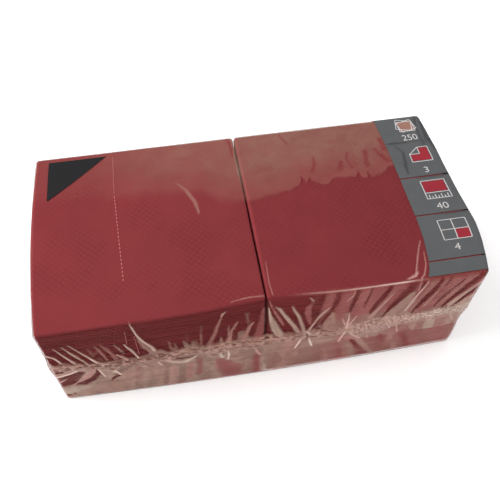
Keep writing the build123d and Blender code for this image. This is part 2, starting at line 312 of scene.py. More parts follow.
lower_blocks = (
    (0.62, 0.0, 0.00, ((-202, 20, 20), (-188, 24, 14), (-176, 25, 5))),
    (0.28, 0.2, 0.00, ((-146, 46, 5), (-139, 54, 8), (-133, 64, 9))),
    (0.32, 0.2, 0.00, ((-105, 62, 2), (-96, 52, 5), (-98, 30, 5), (-101, 4, 5))),
    (0.54, 0.4, 0.00, ((-92, 44, 7), (-93, 26, 9), (-95, 4, 9))),
    (0.34, 0.1, 0.00, ((-83, 46, 4), (-84, 24, 5), (-87, 4, 5))),
    (0.50, 0.6, 0.00, ((-73, 48, 5), (-76, 30, 7), (-78, 16, 7))),
    (0.34, 0.8, 0.00, ((-65, 54, 4), (-65, 40, 4), (-67, 20, 4))),
    (0.50, 0.2, 0.00, ((-57, 44, 8), (-57, 26, 9), (-58, 6, 9))),
    (0.34, 0.9, 0.00, ((-46, 44, 8), (-42, 34, 18), (-36, 22, 26), (-34, 8, 22))),
    (0.46, 0.3, 0.00, ((-19, 44, 6), (-18, 24, 7), (-18, 4, 8))),
    (0.34, 1.0, 0.00, ((-9.5, 42, 6), (-9, 26, 8), (-9, 8, 9))),
    (0.50, 0.3, 0.00, ((-2, 60, 3), (-3.5, 30, 4), (-2, 3, 4))),
    (0.50, 0.9, 0.00, ((-100, 2.5, 4), (0, 2.5, 5), (100, 2.5, 6))),
    (0.32, 0.4, 0.00, ((53.5, 44, 4), (54, 24, 5), (55, 8, 5))),
    (0.46, 0.5, 0.00, ((63, 44, 6), (62, 24, 7), (62, 8, 7))),
    (0.30, 0.9, 0.00, ((72, 42, 4), (75, 26, 6), (78, 8, 6))),
    (0.46, 0.3, 0.00, ((83, 40, 4), (88, 24, 6), (93, 6, 7))),
    (0.26, 0.9, 0.00, ((94, 30, 6), (100, 18, 8), (104, 8, 7))),
    (0.20, 1.0, 0.00, ((115.5, 46, 4), (119, 38, 8), (120, 29, 6))),
    (0.28, 0.7, 0.00, ((116, 26, 8), (124, 14, 8), (129, 6, 8))),
    (0.46, 0.5, 0.00, ((128, 42, 5), (133, 24, 6), (138, 8, 7))),
    (0.24, 1.0, 0.00, ((140, 42, 6), (144, 32, 7), (148, 22, 8), (151, 12, 6))),
    (0.42, 0.9, 0.00, ((154, 40, 7), (157, 22, 8), (160, 8, 8))),
    (0.32, 0.6, 0.00, ((163, 40, 5), (166, 20, 6), (168, 6, 6))),
    (0.38, 0.9, 0.00, ((178, 38, 18), (184, 22, 16), (188, 10, 12))),
)

lower_folds = (
    (0.04, 0.3, 0.00, ((-206, 36, 14), (-196, 45, 24), (-186, 52, 21), (-177, 59, 9))),
    (0.02, 0.3, 0.00, ((-204, 34, 8), (-192, 38, 8), (-184, 40, 7))),
    (0.01, 0.2, 0.00, ((-185, 34.5, 3), (-178, 35, 11), (-169, 42, 10), (-162, 53, 7), (-161, 62, 4))),
    (0.50, 0.6, 0.06, ((-187, 35.5, 1.2), (-180, 42.5, 5), (-173, 49, 9), (-167.5, 56, 8), (-164, 65, 5))),
    (0.62, 0.3, 0.60, ((-203, 55, 3), (-193, 58.5, 3.6), (-186, 61, 3), (-180, 66, 2))),
    (0.48, 0.7, 0.26, ((-203, 40, 3), (-197, 45.5, 3), (-192.5, 49.5, 1.4))),
    (0.02, 0.3, 0.00, ((-199, 66, 4.4), (-193, 66, 4.4))),
    (0.02, 0.6, 0.00, ((-200, 11.5, 5), (-196.5, 9.5, 3))),
    (0.06, 0.6, 0.00, ((-192.5, 14, 1.4), (-192, 12, 2))),
    (0.02, 0.2, 0.00, ((-152.5, 32.5, 1.4), (-149, 38.5, 5), (-145, 41.5, 5), (-142, 42.5, 2.6))),
    (0.08, 0.2, 0.00, ((-149, 60, 3), (-146, 57.5, 2.4))),
    (0.60, 0.4, 0.66, ((-160.5, 64, 1.2), (-159, 56, 1.9), (-156.8, 44.5, 1.4))),
    (0.62, 0.3, 0.70, ((-146, 56, 1.4), (-144, 50, 2.6), (-141.8, 44, 2.4))),
    (0.56, 0.2, 0.20, ((-148, 54, 2), (-146.5, 50, 3))),
    (0.34, 0.2, 0.00, ((-118, 64, 3), (-111, 52, 3))),
    (0.60, 0.3, 0.45, ((-104.5, 61, 1.4), (-101.5, 53.5, 1.8))),
    (0.10, 0.3, 0.00, ((-91, 67, 4), (-86, 63, 6), (-80, 61.5, 6), (-72, 62, 4))),
    (0.66, 0.1, 0.20, ((-97.5, 64, 1.8), (-92, 57.5, 3.4), (-85, 53.5, 6.5), (-79, 53, 7), (-73, 57, 5),
                       (-66, 64, 2.4))),
    (0.58, 0.4, 0.10, ((-57.5, 62, 1), (-55.5, 57, 3), (-53.8, 54.5, 2.6))),
    (0.28, 0.6, 0.00, ((-53, 62, 4), (-50, 58, 4))),
    (0.62, 0.0, 0.20, ((-45, 60, 1.6), (-43.5, 54, 6), (-43, 49.5, 4))),
    (0.30, 0.0, 0.00, ((-41.5, 59.5, 1.4), (-41.5, 54, 2))),
    (0.62, 0.1, 0.55, ((-37.5, 63, 1.4), (-36.4, 54, 2.4), (-37.8, 44, 1.4))),
    (0.60, 0.7, 0.28, ((-10.5, 58, 1), (-9, 51, 4), (-6, 44, 3.4))),
    (0.08, 0.9, 0.00, ((85, 47, 3), (88, 42, 6), (92, 34, 5), (95, 26, 2))),
    (0.52, 0.4, 0.04, ((93, 46, 7), (99, 34, 8), (105, 22, 7), (113, 8, 7), (116, 0, 7))),
)

# The loose edge past the weld: its lower rim as X and Z, and its blocks as X, painted sheen and pinkness
tail_rim = (
    (24, 44), (34, 44), (50, 47), (65, 48), (75, 45), (90, 47), (100, 47), (113, 44.5), (116, 49),
    (126, 44), (134, 46), (142, 49), (150, 45), (162, 42.5), (172, 42), (186, 43.5), (197, 45),
)
tail_blocks = (
    (24, 0.46, 0.4), (50, 0.52, 0.3), (66, 0.52, 0.3), (74, 0.50, 0.7), (84, 0.52, 0.6), (96, 0.56, 0.2),
    (112, 0.54, 0.3), (126, 0.52, 0.6), (133, 0.42, 0.6), (143, 0.42, 0.6), (150, 0.60, 0.4),
    (154, 0.46, 0.55), (160, 0.46, 0.55), (163, 0.62, 0.1), (171, 0.62, 0.1), (175, 0.46, 0.55),
    (183, 0.48, 0.55), (189, 0.58, 0.3),
)

upper_grain = ((60, 70), (78, 80), (100, 83), (122, 86), (150, 81), (180, 85), (204, 90))
lower_grain = ((60, 66), (74, 54), (100, 52), (122, 54), (132, 65), (160, 66), (180, 69), (204, 71))

# Bright creases of painted sheen and painted glint that run out of the weld at the right
right_creases = (
    (0.60, 0.3, 0.45, ((38.5, 77, 3), (42, 72, 4))),
    (0.56, 0.6, 0.40, ((38.5, 68.5, 1.6), (34, 64.5, 2))),
    (0.62, 0.1, 0.90, ((33.6, 64, 1.2), (32.6, 58, 2.4), (30.5, 50.5, 2.2), (29, 46, 1.4))),
    (0.62, 0.0, 0.85, ((42, 63.5, 1.2), (44, 54, 2.2), (46, 46, 1.8))),
    (0.58, 0.6, 0.45, ((77.5, 68, 3), (75.5, 57, 2.6), (73, 45.5, 1.2))),
    (0.56, 0.6, 0.45, ((78, 99, 0.8), (78.6, 90, 1.6), (78, 74, 3.2))),
    (0.56, 0.7, 0.35, ((80, 68, 2), (87, 55.5, 3), (95, 47, 2.4))),
    (0.56, 0.7, 0.35, ((101.5, 51, 1), (103, 46, 2.2))),
    (0.54, 0.7, 0.30, ((72, 92, 1), (76, 80, 2.4))),
    (0.54, 0.7, 0.30, ((86, 92, 1), (80, 78, 2.4))),
    (0.54, 0.6, 0.25, ((130, 64, 2), (134, 48, 2))),
    (0.54, 0.5, 0.30, ((186, 68, 1.6), (193, 54, 2))),
)

weld_crease_count = 230

# Pits of the weld where the napkins show through: X, Z, length and height
weld_pits = (
    (-199, 66, 8, 4), (-186, 72, 6, 2.6), (-176, 72.5, 7, 2.4), (-161, 70.5, 10, 2.2), (-150, 69.5, 8, 2),
    (-139, 71, 6, 1.8), (-131, 69.5, 5, 1.8), (-121, 71.5, 4, 1.6), (-112, 70.5, 6, 2),
    (-100, 75.5, 5, 2.4), (-101, 71.5, 5, 1.8), (-99, 66, 4, 2), (-88, 68.5, 5, 1.8), (-77, 72, 4, 1.4),
    (-68, 75.5, 3.6, 1.6), (-58, 71, 4.6, 1.8), (-48, 73, 4, 1.4), (-44, 64, 4, 1.6),
    (-38, 75.5, 3.4, 1.8), (-37.5, 66, 3, 1.6), (-31, 72.5, 4, 2.2), (-29, 66, 3, 1.6), (-22, 73, 5, 2),
    (-16, 72.5, 3, 1.6), (-8, 71, 8, 1.4), (-9, 63, 5, 2), (0, 64, 6, 2), (1, 75, 6, 4),
    (9.5, 74, 6, 2.8), (5, 69.5, 10, 1.4), (16, 68, 4, 1.6), (20, 73.5, 5, 1.4), (27, 77.5, 3, 2.8),
    (30, 70.5, 6, 1.2), (47, 66, 7, 2), (59, 65, 5, 2.2), (50, 79, 6, 4), (68, 65.5, 3, 2),
    (64, 71, 6, 1.2), (56, 74, 6, 1.4),
)


def streak(x, z, route, softness=0.5):
    """A soft stripe along a route of (x, z, width) points: 1 along its middle, 0 at its sides."""
    body = np.zeros_like(x)
    for (x0, z0, width0), (x1, z1, width1) in zip(route, route[1:]):
        reach = max(width0, width1) + 2 * softness
        near = (x > min(x0, x1) - reach) & (x < max(x0, x1) + reach)
        near &= (z > min(z0, z1) - reach) & (z < max(z0, z1) + reach)
        if not near.any():
            continue
        from_x, from_z = x[near] - x0, z[near] - z0
        run_x, run_z = x1 - x0, z1 - z0
        along = np.clip((from_x * run_x + from_z * run_z) / (run_x**2 + run_z**2), 0, 1)
        distance = np.hypot(from_x - along * run_x, from_z - along * run_z)
        half = (width0 + (width1 - width0) * along) / 2
        shown = smooth_step(half + softness, 0.5 * half - 0.6 * softness, distance)
        body[near] = np.maximum(body[near], shown)
    return body


def lay_folds(x, z, folds, painted_sheen, pink, glint, softness=0.5):
    """Each row of a table of folds laid over what is there as painted sheen, pinkness and painted glint, a
    little uneven along its length.
    """
    for fold_painted_sheen, fold_pink, fold_glint, route in folds:
        (x0, z0, _), (x1, z1, _) = route[0], route[-1]
        lean = (x1 - x0) / (z1 - z0) if abs(z1 - z0) > abs(x1 - x0) else 0
        fibres = lumps((x - lean * z) / 1.7, z / 16 + x0, round(100 + x0 + z0) % 41)
        body = np.clip(streak(x, z, route, softness) * (1 + 0.42 * (fibres - 0.5)), 0, 1)
        painted_sheen += (fold_painted_sheen - painted_sheen) * body
        pink += (fold_pink - pink) * body
        glint += (fold_glint - glint) * body


def weld_creases(seed):
    """Short folds of painted sheen and glint that cross the weld at all angles, as rows of a table of folds.
    """
    chance = np.random.default_rng(seed)
    creases = []
    for _ in range(weld_crease_count):
        x = chance.uniform(-1, 1) * (film_length / 2 - 4)
        lean = radians(chance.uniform(-78, 78))
        length = chance.uniform(3, 8)
        z = float(weld_height(x)) - 0.5 + chance.normal(0, 2.6)
        side = chance.choice((-1, 1))
        tip_x, tip_z = x + length * sin(lean), z + side * length * cos(lean)
        width = chance.uniform(1.0, 2.4)
        route = ((x, z, width), (tip_x, tip_z, 0.4 * width))
        painted_sheen = chance.uniform(0.35, 0.6)
        pink = chance.uniform(0.1, 0.7)
        glint = chance.uniform(0, 0.38) ** 1.3
        creases.append((painted_sheen, pink, glint, route))
    return creases


def face_folds(x, z, seed):
    """What the film does on the front face: height off it, painted sheen, painted glint, pinkness and painted
    sparkle where it is granular.

    The functions for the other faces give the same five.
    """
    weld = weld_height(x)
    over = z - weld
    under = smooth_step(-1, -6, over)
    blocks = lumps((x - 0.12 * z) / 6.5, z / 60, seed)
    wide_blocks = lumps((x - 0.1 * z) / 17, z / 40, seed + 1)
    layers = lumps(x / 55, z / 1.9, seed + 2)
    fine_pleats = lumps((x - (0.2 + 0.0024 * np.clip(x - 50, 0, 200)) * over) / 2.2, z / 60, seed + 11)

    # Under the weld the film faces down: a painted reflection of the pale ground, redder towards the right
    to_right = smooth_step(-60, 150, x)
    painted_sheen = under * (0.50 - 0.12 * to_right)
    pink = 0.25 + 0.45 * under * to_right + 0.3 * (wide_blocks - 0.5)
    glint = np.zeros_like(x)
    painted_sheen = np.maximum(painted_sheen, 0.006 + 0.01 * (wide_blocks - 0.5))
    far_right = smooth_step(43, 53, x - 0.16 * over) * (1 - under)
    near_weld = smooth_step(34, 12, over)
    painted_sheen = np.maximum(painted_sheen, far_right * (0.29 + 0.12 * near_weld + 0.10 * (fine_pleats - 0.5)))
    pink += (0.95 - 0.55 * near_weld - pink) * far_right
    for folds in (upper_left_folds, upper_middle_folds, upper_right_folds, upper_right_clear):
        lay_folds(x, z, folds, painted_sheen, pink, glint)
    lay_folds(x, z, lower_blocks, painted_sheen, pink, glint, 3.0)
    lay_folds(x, z, lower_folds, painted_sheen, pink, glint)
    painted_sheen = painted_sheen * (1 + 0.30 * under * (blocks - 0.5) + 0.26 * under * (wide_blocks - 0.5))

    # The loose edge past the weld
    rim_x, rim_z = np.transpose(tail_rim)
    low_edge = np.interp(x, rim_x, rim_z)
    in_tail = smooth_step(23, 32, x) * smooth_step(-0.4, 0.9, z - low_edge) * under
    block_x, block_painted_sheen, block_pink = np.transpose(tail_blocks)
    lean_x = x + 0.10 * (z - 50)
    painted_sheen += (np.interp(lean_x, block_x, block_painted_sheen) - painted_sheen) * in_tail
    pink += (np.interp(lean_x, block_x, block_pink) - pink) * in_tail
    rim = hump(z - low_edge, 0.9) * smooth_step(23, 32, x) * smooth_step(199, 194, x)
    painted_sheen = np.maximum(painted_sheen, 0.50 * rim * (0.4 + 0.8 * blocks))
    lay_folds(x, z, right_creases, painted_sheen, pink, glint)

    # The weld: a rope of short crumpled folds in painted sheen, with pits where the napkins show through
    sway = 3.0 * (lumps(x / 9, 0 * x, seed + 3) - 0.5)
    rough = 5.0 + 2.4 * smooth_step(-110, -60, x) + 2.0 * (lumps(x / 12, 0 * x, seed + 4) - 0.5)
    swell = 2.4 * smooth_step(-100, -75, x) * smooth_step(15, -15, x)
    rope = smooth_step(1.3, 0.6, np.abs(over + 0.5 - 0.4 * sway - swell) / (rough + swell))
    crumple_x = x / 2.6 + 1.2 * lumps(x / 3, z / 3, seed + 5)
    crumple_z = z / 2.2 + lumps(x / 4, z / 3, seed + 6)
    crumple = lumps(crumple_x, crumple_z, seed + 7)
    body = 0.46 + 0.13 * smooth_step(-118, -85, x) + 0.26 * (crumple - 0.5)
    painted_sheen += (body - painted_sheen) * rope * 0.85
    pink += (0.35 - pink) * rope * 0.7
    lay_folds(x, z, weld_creases(seed), painted_sheen, pink, glint, 0.45)
    pits = np.zeros_like(x)
    for pit_x, pit_z, length, height in weld_pits:
        reach = (length - height) / 2
        ends = ((pit_x - reach, pit_z + 0.3, height), (pit_x + reach, pit_z - 0.3, 0.7 * height))
        pits = np.maximum(pits, streak(x, z, ends))
    small_pits = rope * smooth_step(0.36, 0.20, crumple) * smooth_step(70, 40, x)
    pits = np.maximum(pits, (0.5 - 0.08 * swell) * small_pits)
    painted_sheen *= 1 - 0.90 * pits
    glint *= 1 - 0.9 * pits
    lips = hump(over - 1.9 - 0.3 * sway, 0.8) + hump(over + 1.5 + 0.3 * sway, 0.8)
    lips *= smooth_step(90, 60, x)
    glint = np.maximum(glint, 0.20 * lips * (1 - pits) * (0.3 + lumps(x / 6, 0 * x, seed + 9)))
    painted_sheen = np.maximum(painted_sheen, 0.42 * lips * (1 - pits))

    # The granular stretch of the weld at the right, in painted sheen and painted sparkle
    high_edge = np.interp(x, *np.transpose(upper_grain)) + 5 * (crumple - 0.5)
    grain_low = np.interp(x, *np.transpose(lower_grain)) + 6 * (crumple - 0.5)
    grain_and_sparkle = smooth_step(58, 100, x) * smooth_step(high_edge + 1, high_edge - 5, z)
    grain_and_sparkle = grain_and_sparkle * smooth_step(grain_low - 1, grain_low + 5, z)
    painted_sheen += (0.58 - painted_sheen) * grain_and_sparkle * 0.9
    pink += (0.32 - 0.3 * smooth_step(120, 190, x) - pink) * grain_and_sparkle * 0.8
    sparks = lumps(x / 1.5 + 0.7 * crumple, z / 1.4, seed + 10)
    spark_glint = 0.06 + 0.14 * smooth_step(100, 180, x) + 0.26 * smooth_step(0.45, 0.95, sparks)
    glint = np.maximum(glint, grain_and_sparkle * spark_glint)
    painted_sheen *= 1 - 0.28 * grain_and_sparkle * smooth_step(0.42, 0.12, sparks)

    # The painted sheen varies in level lines where the fine edges of the folded napkins show through
    painted_sheen = painted_sheen * (1 + 0.22 * (layers - 0.5) * (under + 0.4 * (1 - under)))
    height = weld_tent * np.exp(-np.abs(over) / weld_tent_reach)
    height += 1.1 * painted_sheen + 0.7 * glint - 0.5 * pits
    groove = np.exp(-((x - 1.5) ** 2) / 7) * smooth_step(20, 50, over)
    height -= 1.4 * groove
    return height, painted_sheen, glint, np.clip(pink, 0, 1), grain_and_sparkle


def back_folds(x, z, seed):
    """The film on the back face: plain pleats of painted sheen and glint that fan out from the same kind of
    weld.
    """
    weld = weld_height(x)
    over = z - weld
    height = weld_tent * np.exp(-np.abs(over) / weld_tent_reach)
    painted_sheen = 0.10 + 0.26 * smooth_step(2, -6, over)
    painted_sheen = painted_sheen + 0.12 * (lumps(x / 11, z / 45, seed) - 0.5)
    glint = np.zeros_like(x)
    chance = np.random.default_rng(seed)
    for share in np.linspace(-0.93, 0.93, 34):
        root = share * film_length / 2
        side = 1 if chance.random() < 0.62 else -1
        lean = 30 * share + chance.uniform(-16, 16)
        length = chance.uniform(16, 52)
        start = (root, float(weld_height(root)))
        end = (root + length * sin(radians(lean)), start[1] + side * length * cos(radians(lean)))
        body, aside = wedge(x, z, start, end, chance.uniform(5, 11), 1.0)
        painted_sheen = np.maximum(painted_sheen, body * chance.uniform(0.25, 0.45))
        glint = np.maximum(glint, 0.26 * smooth_step(0.9, 0.1, np.abs(aside - 0.3)) * body)
        height += 1.2 * body
    pink = 0.3 + 0 * x
    lay_folds(x, z, weld_creases(seed), painted_sheen, pink, glint, 1.0)
    lips = hump(over - 2.1, 1.0) + hump(over + 1.7, 1.0)
    glint = np.maximum(glint, 0.2 * lips)
    painted_sheen = np.maximum(painted_sheen, 0.36 * hump(over, 4.2))
    height += 0.9 * lips - 2.2 * np.exp(-(x**2) / 9) * smooth_step(0, 40, over)
    return height, painted_sheen, glint, pink, 0 * x


def end_folds(y, z, seed):
    """The film on an end of the pack: the tucked folds, in painted sheen and glint, run from the weld to the
    corners.
    """
    middle = weld_height_share * film_height
    painted_sheen = 0.22 + 0.12 * smooth_step(middle, middle - 12, z)
    painted_sheen = painted_sheen + 0.16 * (lumps(y / 9, z / 40, seed) - 0.5)
    height = 0.5 * lumps(y / 14, z / 50, seed + 1)
    glint = np.zeros_like(y)
    for side in (-1, 1):
        for rise in (-1, 1):
            start = (side * film_depth / 2, middle + rise * 4)
            end = (side * film_depth * 0.2, middle + rise * film_height * 0.42)
            body, aside = wedge(y, z, start, end, 9, 2)
            painted_sheen = np.maximum(painted_sheen, 0.38 * body)
            glint = np.maximum(glint, 0.3 * smooth_step(0.8, 0.1, np.abs(aside - 0.3)) * body)
            height += 1.2 * body
    weld = hump(z - middle - 2 * np.sin(y / 15), 1.6)
    glint = np.maximum(glint, 0.3 * weld)
    height += 1.2 * weld
    return height, painted_sheen, glint, 0.55 + 0 * y, 0 * y


def gap_line(y):
    """The middle of the gap between the stacks, which wanders a little from front to back."""
    return 1.6 * hump(y, 62) - 0.2


# Where the painted reflection on the top begins, as X and Y, and the clearer spots in it
reflection_edge = (
    (-205, 52), (-180, 46), (-150, 44), (-120, 42), (-66, 38), (-40, 36), (-24, 21), (0, 17), (13, 16),
    (30, 20), (48, 23), (57, 28), (60, 37), (64, 29), (68, 35), (70, 29), (78, 24), (85, 25), (90, 30),
    (105, 30), (112, 28), (118, 35), (120, 26), (125, 26), (127, 35), (130, 26), (140, 28), (145, 32),
    (150, 36), (205, 40),
)
clear_spots = (
    (0.05, 0.4, 0.00, ((77, 60, 2), (76, 50, 4), (72, 42, 5))),
    (0.04, 0.5, 0.00, ((104, 50, 5), (101, 42, 7))),
    (0.06, 0.4, 0.00, ((113, 62, 2), (110, 52, 2.4), (113, 40, 3))),
    (0.05, 0.4, 0.00, ((132, 60, 6), (130, 50, 5), (129, 42, 7))),
    (0.05, 0.5, 0.00, ((142, 62, 3), (147, 50, 5), (151, 44, 5))),
    (0.07, 0.5, 0.00, ((151, 74, 5), (152, 60, 6))),
    (0.08, 0.3, 0.00, ((48, 96, 1.4), (54, 82, 3))),
    (0.04, 0.5, 0.00, ((-7, 98, 2), (-3, 88, 5), (-4, 76, 3))),
)
top_creases = (
    (0.16, 0.3, 0.10, ((-64, 48, 1), (-56, 38, 4), (-49, 22, 5), (-47, 8, 2))),
    (0.22, 0.6, 0.34, ((151, -58, 0.8), (145, -72, 1.4), (140, -86, 1.6), (137, -93, 1.4))),
    (0.24, 0.6, 0.40, ((129, -96.5, 2), (136, -94.5, 3.6), (140, -91, 1.6))),
    (0.20, 0.7, 0.30, ((141, -98, 1.6), (145, -94, 1.6), (149, -84, 1.2), (151, -70, 0.8))),
    (0.12, 0.8, 0.22, ((6, -97, 1.2), (5, -86, 1.2), (6, -60, 0.8))),
    (0.14, 0.6, 0.22, ((-32, -97, 0.8), (-16, -96, 1.6), (-2, -97, 1.8))),
)


def top_folds(x, y, seed):
    """The film on the top: clear and tight, with a painted reflection towards the back, and sunk over the
    gap.
    """
    height = -valley_depth * smooth_step(valley_half_width, 0, np.abs(x - gap_line(y)))
    height += 0.25 * (lumps(x / 60, y / 50, seed) - 0.5)
    edge = np.interp(x, *np.transpose(reflection_edge)) + 2.4 * (lumps(x / 5, 0 * x, seed + 1) - 0.5)
    inside = y - edge
    softness = 0.9 + 7 * smooth_step(10, -30, x) + 2 * smooth_step(60, 20, x)
    reflection_strength = 0.22 + 0.56 * smooth_step(-170, -60, x) + 0.22 * smooth_step(0, 15, x)
    reflecting = smooth_step(-softness, softness, inside) * reflection_strength
    painted_sheen = reflecting * (0.12 + 0.05 * smooth_step(12, 60, inside))
    folds = lumps(x / 26 + y / 40, (y - 0.4 * x) / 9, seed + 3)
    painted_sheen += reflecting * 0.03 * (folds - 0.5)
    height += reflecting * (0.5 + 0.2 * folds)
    pink = 0.05 + 0.45 * smooth_step(40, 0, inside)
    glint = np.zeros_like(x)
    lay_folds(x, y, clear_spots, painted_sheen, pink, glint, 1.2)
    lay_folds(x, y, top_creases, painted_sheen, pink, glint, 0.5)

    # Painted pale reflections beside the gap, and painted glint and sheen along the front rim
    left_of_gap = hump(x - gap_line(y) + 1.8, 1.2) * smooth_step(24, 60, y)
    painted_sheen += (0.30 - painted_sheen) * left_of_gap
    rim_place = y + film_depth / 2 - 1.9
    front_rim = hump(rim_place, 0.8) * smooth_step(14, 70, x) * smooth_step(150, 140, x)
    glint = np.maximum(glint, 0.8 * front_rim * (0.5 + 0.8 * lumps(x / 14, 0 * x, seed + 5)))
    painted_sheen += 0.05 * hump(rim_place, 2.5) * smooth_step(14, 50, x)
    return height, painted_sheen, glint, pink, 0 * x


def settle(points):
    """The whole pack is a little out of square: its base bulges and its front top rim is drawn back."""
    x, y, z = points.T
    depth_share = np.clip(2 * y / film_depth, -1.1, 1.1)
    height_share = np.clip(z / film_height, 0, 1)
    length_share = np.clip(2 * x / film_length, -1, 1)
    fronting = smooth_step(-0.2, -1, depth_share)
    retreat = front_retreat * hump(x, front_retreat_reach) * height_share**2
    bulge = base_bulge * (1 - length_share**2) * (1 - height_share)
    backing = smooth_step(0.6, 1, depth_share) * smooth_step(0.2, 1, height_share)
    moved = points.copy()
    moved[:, 1] += fronting * (retreat - bulge) + backing * back_bulge
    return moved


def lean_end(points):
    """The right end stands out at its upper front and is drawn in at the weld, paper and film alike."""
    x, y, z = points.T
    right_share = np.clip(2 * x / film_length, 0, 1)
    rise = z / film_height
    lean = right_bulge * hump(y + 55, 42) * smooth_step(0.45, 1, rise)
    lean -= right_waist * hump(rise - 0.42, 0.22)
    lean -= right_base_retreat * smooth_step(0.3, 0, rise)
    moved = points.copy()
    moved[:, 0] += right_share**6 * lean
    return moved


def bow_ends(points):
    """The film's ends bow out in plan."""
    x, y, _ = points.T
    depth_share = np.clip(2 * y / film_depth, -1, 1)
    length_share = np.clip(2 * x / film_length, -1, 1)
    moved = points.copy()
    bow = np.where(x < 0, left_bow, right_bow)
    moved[:, 0] += np.sign(x) * length_share**6 * bow * (1 - depth_share**2)
    return moved


def shape_film(points, lift=0.0):
    """Points on the sharp box of the pack as points on its film, with what the film shows there."""
    radii = np.empty_like(points)
    radii[:, :2] = side_round
    radii[:, 2] = np.where(points[:, 2] > film_height / 2, upper_round, lower_round)
    low = np.array((-film_length / 2 + side_round, -film_depth / 2 + side_round, lower_round))
    high = np.array((film_length / 2 - side_round, film_depth / 2 - side_round, film_height - upper_round))
    core = np.clip(points, low, high)
    out = (points - core) / radii
    out /= np.maximum(np.linalg.norm(out, axis=1, keepdims=True), 1e-9)
    normal = out / radii
    normal /= np.maximum(np.linalg.norm(normal, axis=1, keepdims=True), 1e-9)
    surface = core + out * radii

    x, y, z = surface.T
    field = np.zeros((5, len(points)))
    for share, folds, across, along, seed in (
        ((normal[:, 1] < 0) * normal[:, 1] ** 2, face_folds, x, z, 21),
        ((normal[:, 1] > 0) * normal[:, 1] ** 2, back_folds, -x, z, 22),
        (normal[:, 0] ** 2, end_folds, y * np.sign(x), z, 23),
        ((normal[:, 2] > 0) * normal[:, 2] ** 2, top_folds, x, y, 24),
    ):
        seen = share > unseen_share
        if seen.any():
            field[:, seen] += share[seen] * np.array(folds(across[seen], along[seen], seed))
    height, painted_sheen, glint, pink, grain_and_sparkle = field
    calm = smooth_step(0, 12, z)
    surface = surface + normal * (height * calm + lift)[:, None]
    surface = bow_ends(lean_end(settle(surface)))
    looks = {
        "painted_sheen": np.clip(painted_sheen, 0, 0.95),
        "glint": np.clip(glint, 0, 1),
        "pink": np.clip(pink, 0, 1),
        "grain_and_sparkle": np.clip(grain_and_sparkle, 0, 1),
    }
    return surface, looks


# Meshes


def grid_faces(ids, flip=False):
    """The four-sided faces of a grid of vertex numbers."""
    corners = (ids[:-1, :-1], ids[1:, :-1], ids[1:, 1:], ids[:-1, 1:])
    faces = np.stack([c.ravel() for c in corners], axis=1)
    return faces[:, ::-1] if flip else faces


def box_skin(xs, ys, zs, sides):
    """The named sides of a box as one mesh, with shared vertices along its edges."""
    flips = {"front": False, "back": True, "left": True, "right": False, "top": False}
    points = []
    faces = []
    count = 0
    for side in sides:
        if side in ("front", "back"):
            first, second = np.meshgrid(xs, zs, indexing="ij")
            level = ys[0] if side == "front" else ys[-1]
            block = np.stack([first, np.full_like(first, level), second], axis=-1)
        elif side in ("left", "right"):
            first, second = np.meshgrid(ys, zs, indexing="ij")
            level = xs[0] if side == "left" else xs[-1]
            block = np.stack([np.full_like(first, level), first, second], axis=-1)
        else:
            first, second = np.meshgrid(xs, ys, indexing="ij")
            block = np.stack([first, second, np.full_like(first, zs[-1])], axis=-1)
        ids = count + np.arange(first.size).reshape(first.shape)
        faces.append(grid_faces(ids, flips[side]))
        points.append(block.reshape(-1, 3))
        count += first.size
    points = np.concatenate(points)
    faces = np.concatenate(faces)
    _, keep, merged = np.unique(np.round(points, 4), axis=0, return_index=True, return_inverse=True)
    return points[keep], merged.ravel()[faces]


def add_piece(name, points, faces, material, slot, stands_for=(), looks=None, smooth=True):
    """A mesh object of the pack, from millimetres, riding on its one body."""
    mesh = bpy.data.meshes.new(name)
    mesh.from_pydata((np.asarray(points) * MM).tolist(), [], [list(map(int, f)) for f in faces])
    mesh.validate()
    if smooth:
        mesh.polygons.foreach_set("use_smooth", [True] * len(mesh.polygons))
    for look, values in (looks or {}).items():
        layer = mesh.attributes.new(look, "FLOAT", "POINT")
        layer.data.foreach_set("value", np.asarray(values, np.float32))
    mesh.materials.append(material)
    piece = bpy.data.objects.new(name, mesh)
    bpy.context.scene.collection.objects.link(piece)
    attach(piece, "root")
    for node in stands_for:
        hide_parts(node)


# Materials


def new_material(name):
    """An empty node material and its node tree."""
    material = bpy.data.materials.new(name)
    material.use_nodes = True
    material.node_tree.nodes.clear()
    return material, material.node_tree


def add_node(tree, kind, **settings):
    """A shader node: attributes by name, and inputs as a dict called inputs."""
    node = tree.nodes.new(kind)
    for key, value in settings.pop("inputs", {}).items():
        node.inputs[key].default_value = value
    for key, value in settings.items():
        setattr(node, key, value)
    return node


def wire(tree, source, output, target, entry):
    """A link from a node's output to another node's input."""
    tree.links.new(source.outputs[output], target.inputs[entry])


def remap(tree, source, target=(0.0, 1.0)):
    """A Map Range node from one span of values to another."""
    spans = {"From Min": source[0], "From Max": source[1], "To Min": target[0], "To Max": target[1]}
    return add_node(tree, "ShaderNodeMapRange", inputs=spans)


def darkened(tree, tint):
    """A Mix node that multiplies a colour by a tint, as far as its factor says."""
    mix = add_node(tree, "ShaderNodeMix", data_type="RGBA", blend_type="MULTIPLY")
    mix.inputs["B"].default_value = tint
    return mix


def new_group(name, inputs, outputs):
    """A shader node group with its named sockets: inputs as (name, kind, default), outputs without one."""
    group = bpy.data.node_groups.new(name, "ShaderNodeTree")
    for label, kind, default in inputs:
        socket = group.interface.new_socket(label, in_out="INPUT", socket_type=kind)
        socket.default_value = default
    for label, kind in outputs:
        group.interface.new_socket(label, in_out="OUTPUT", socket_type=kind)
    entry = group.nodes.new("NodeGroupInput")
    leave = group.nodes.new("NodeGroupOutput")
    return group, entry, leave


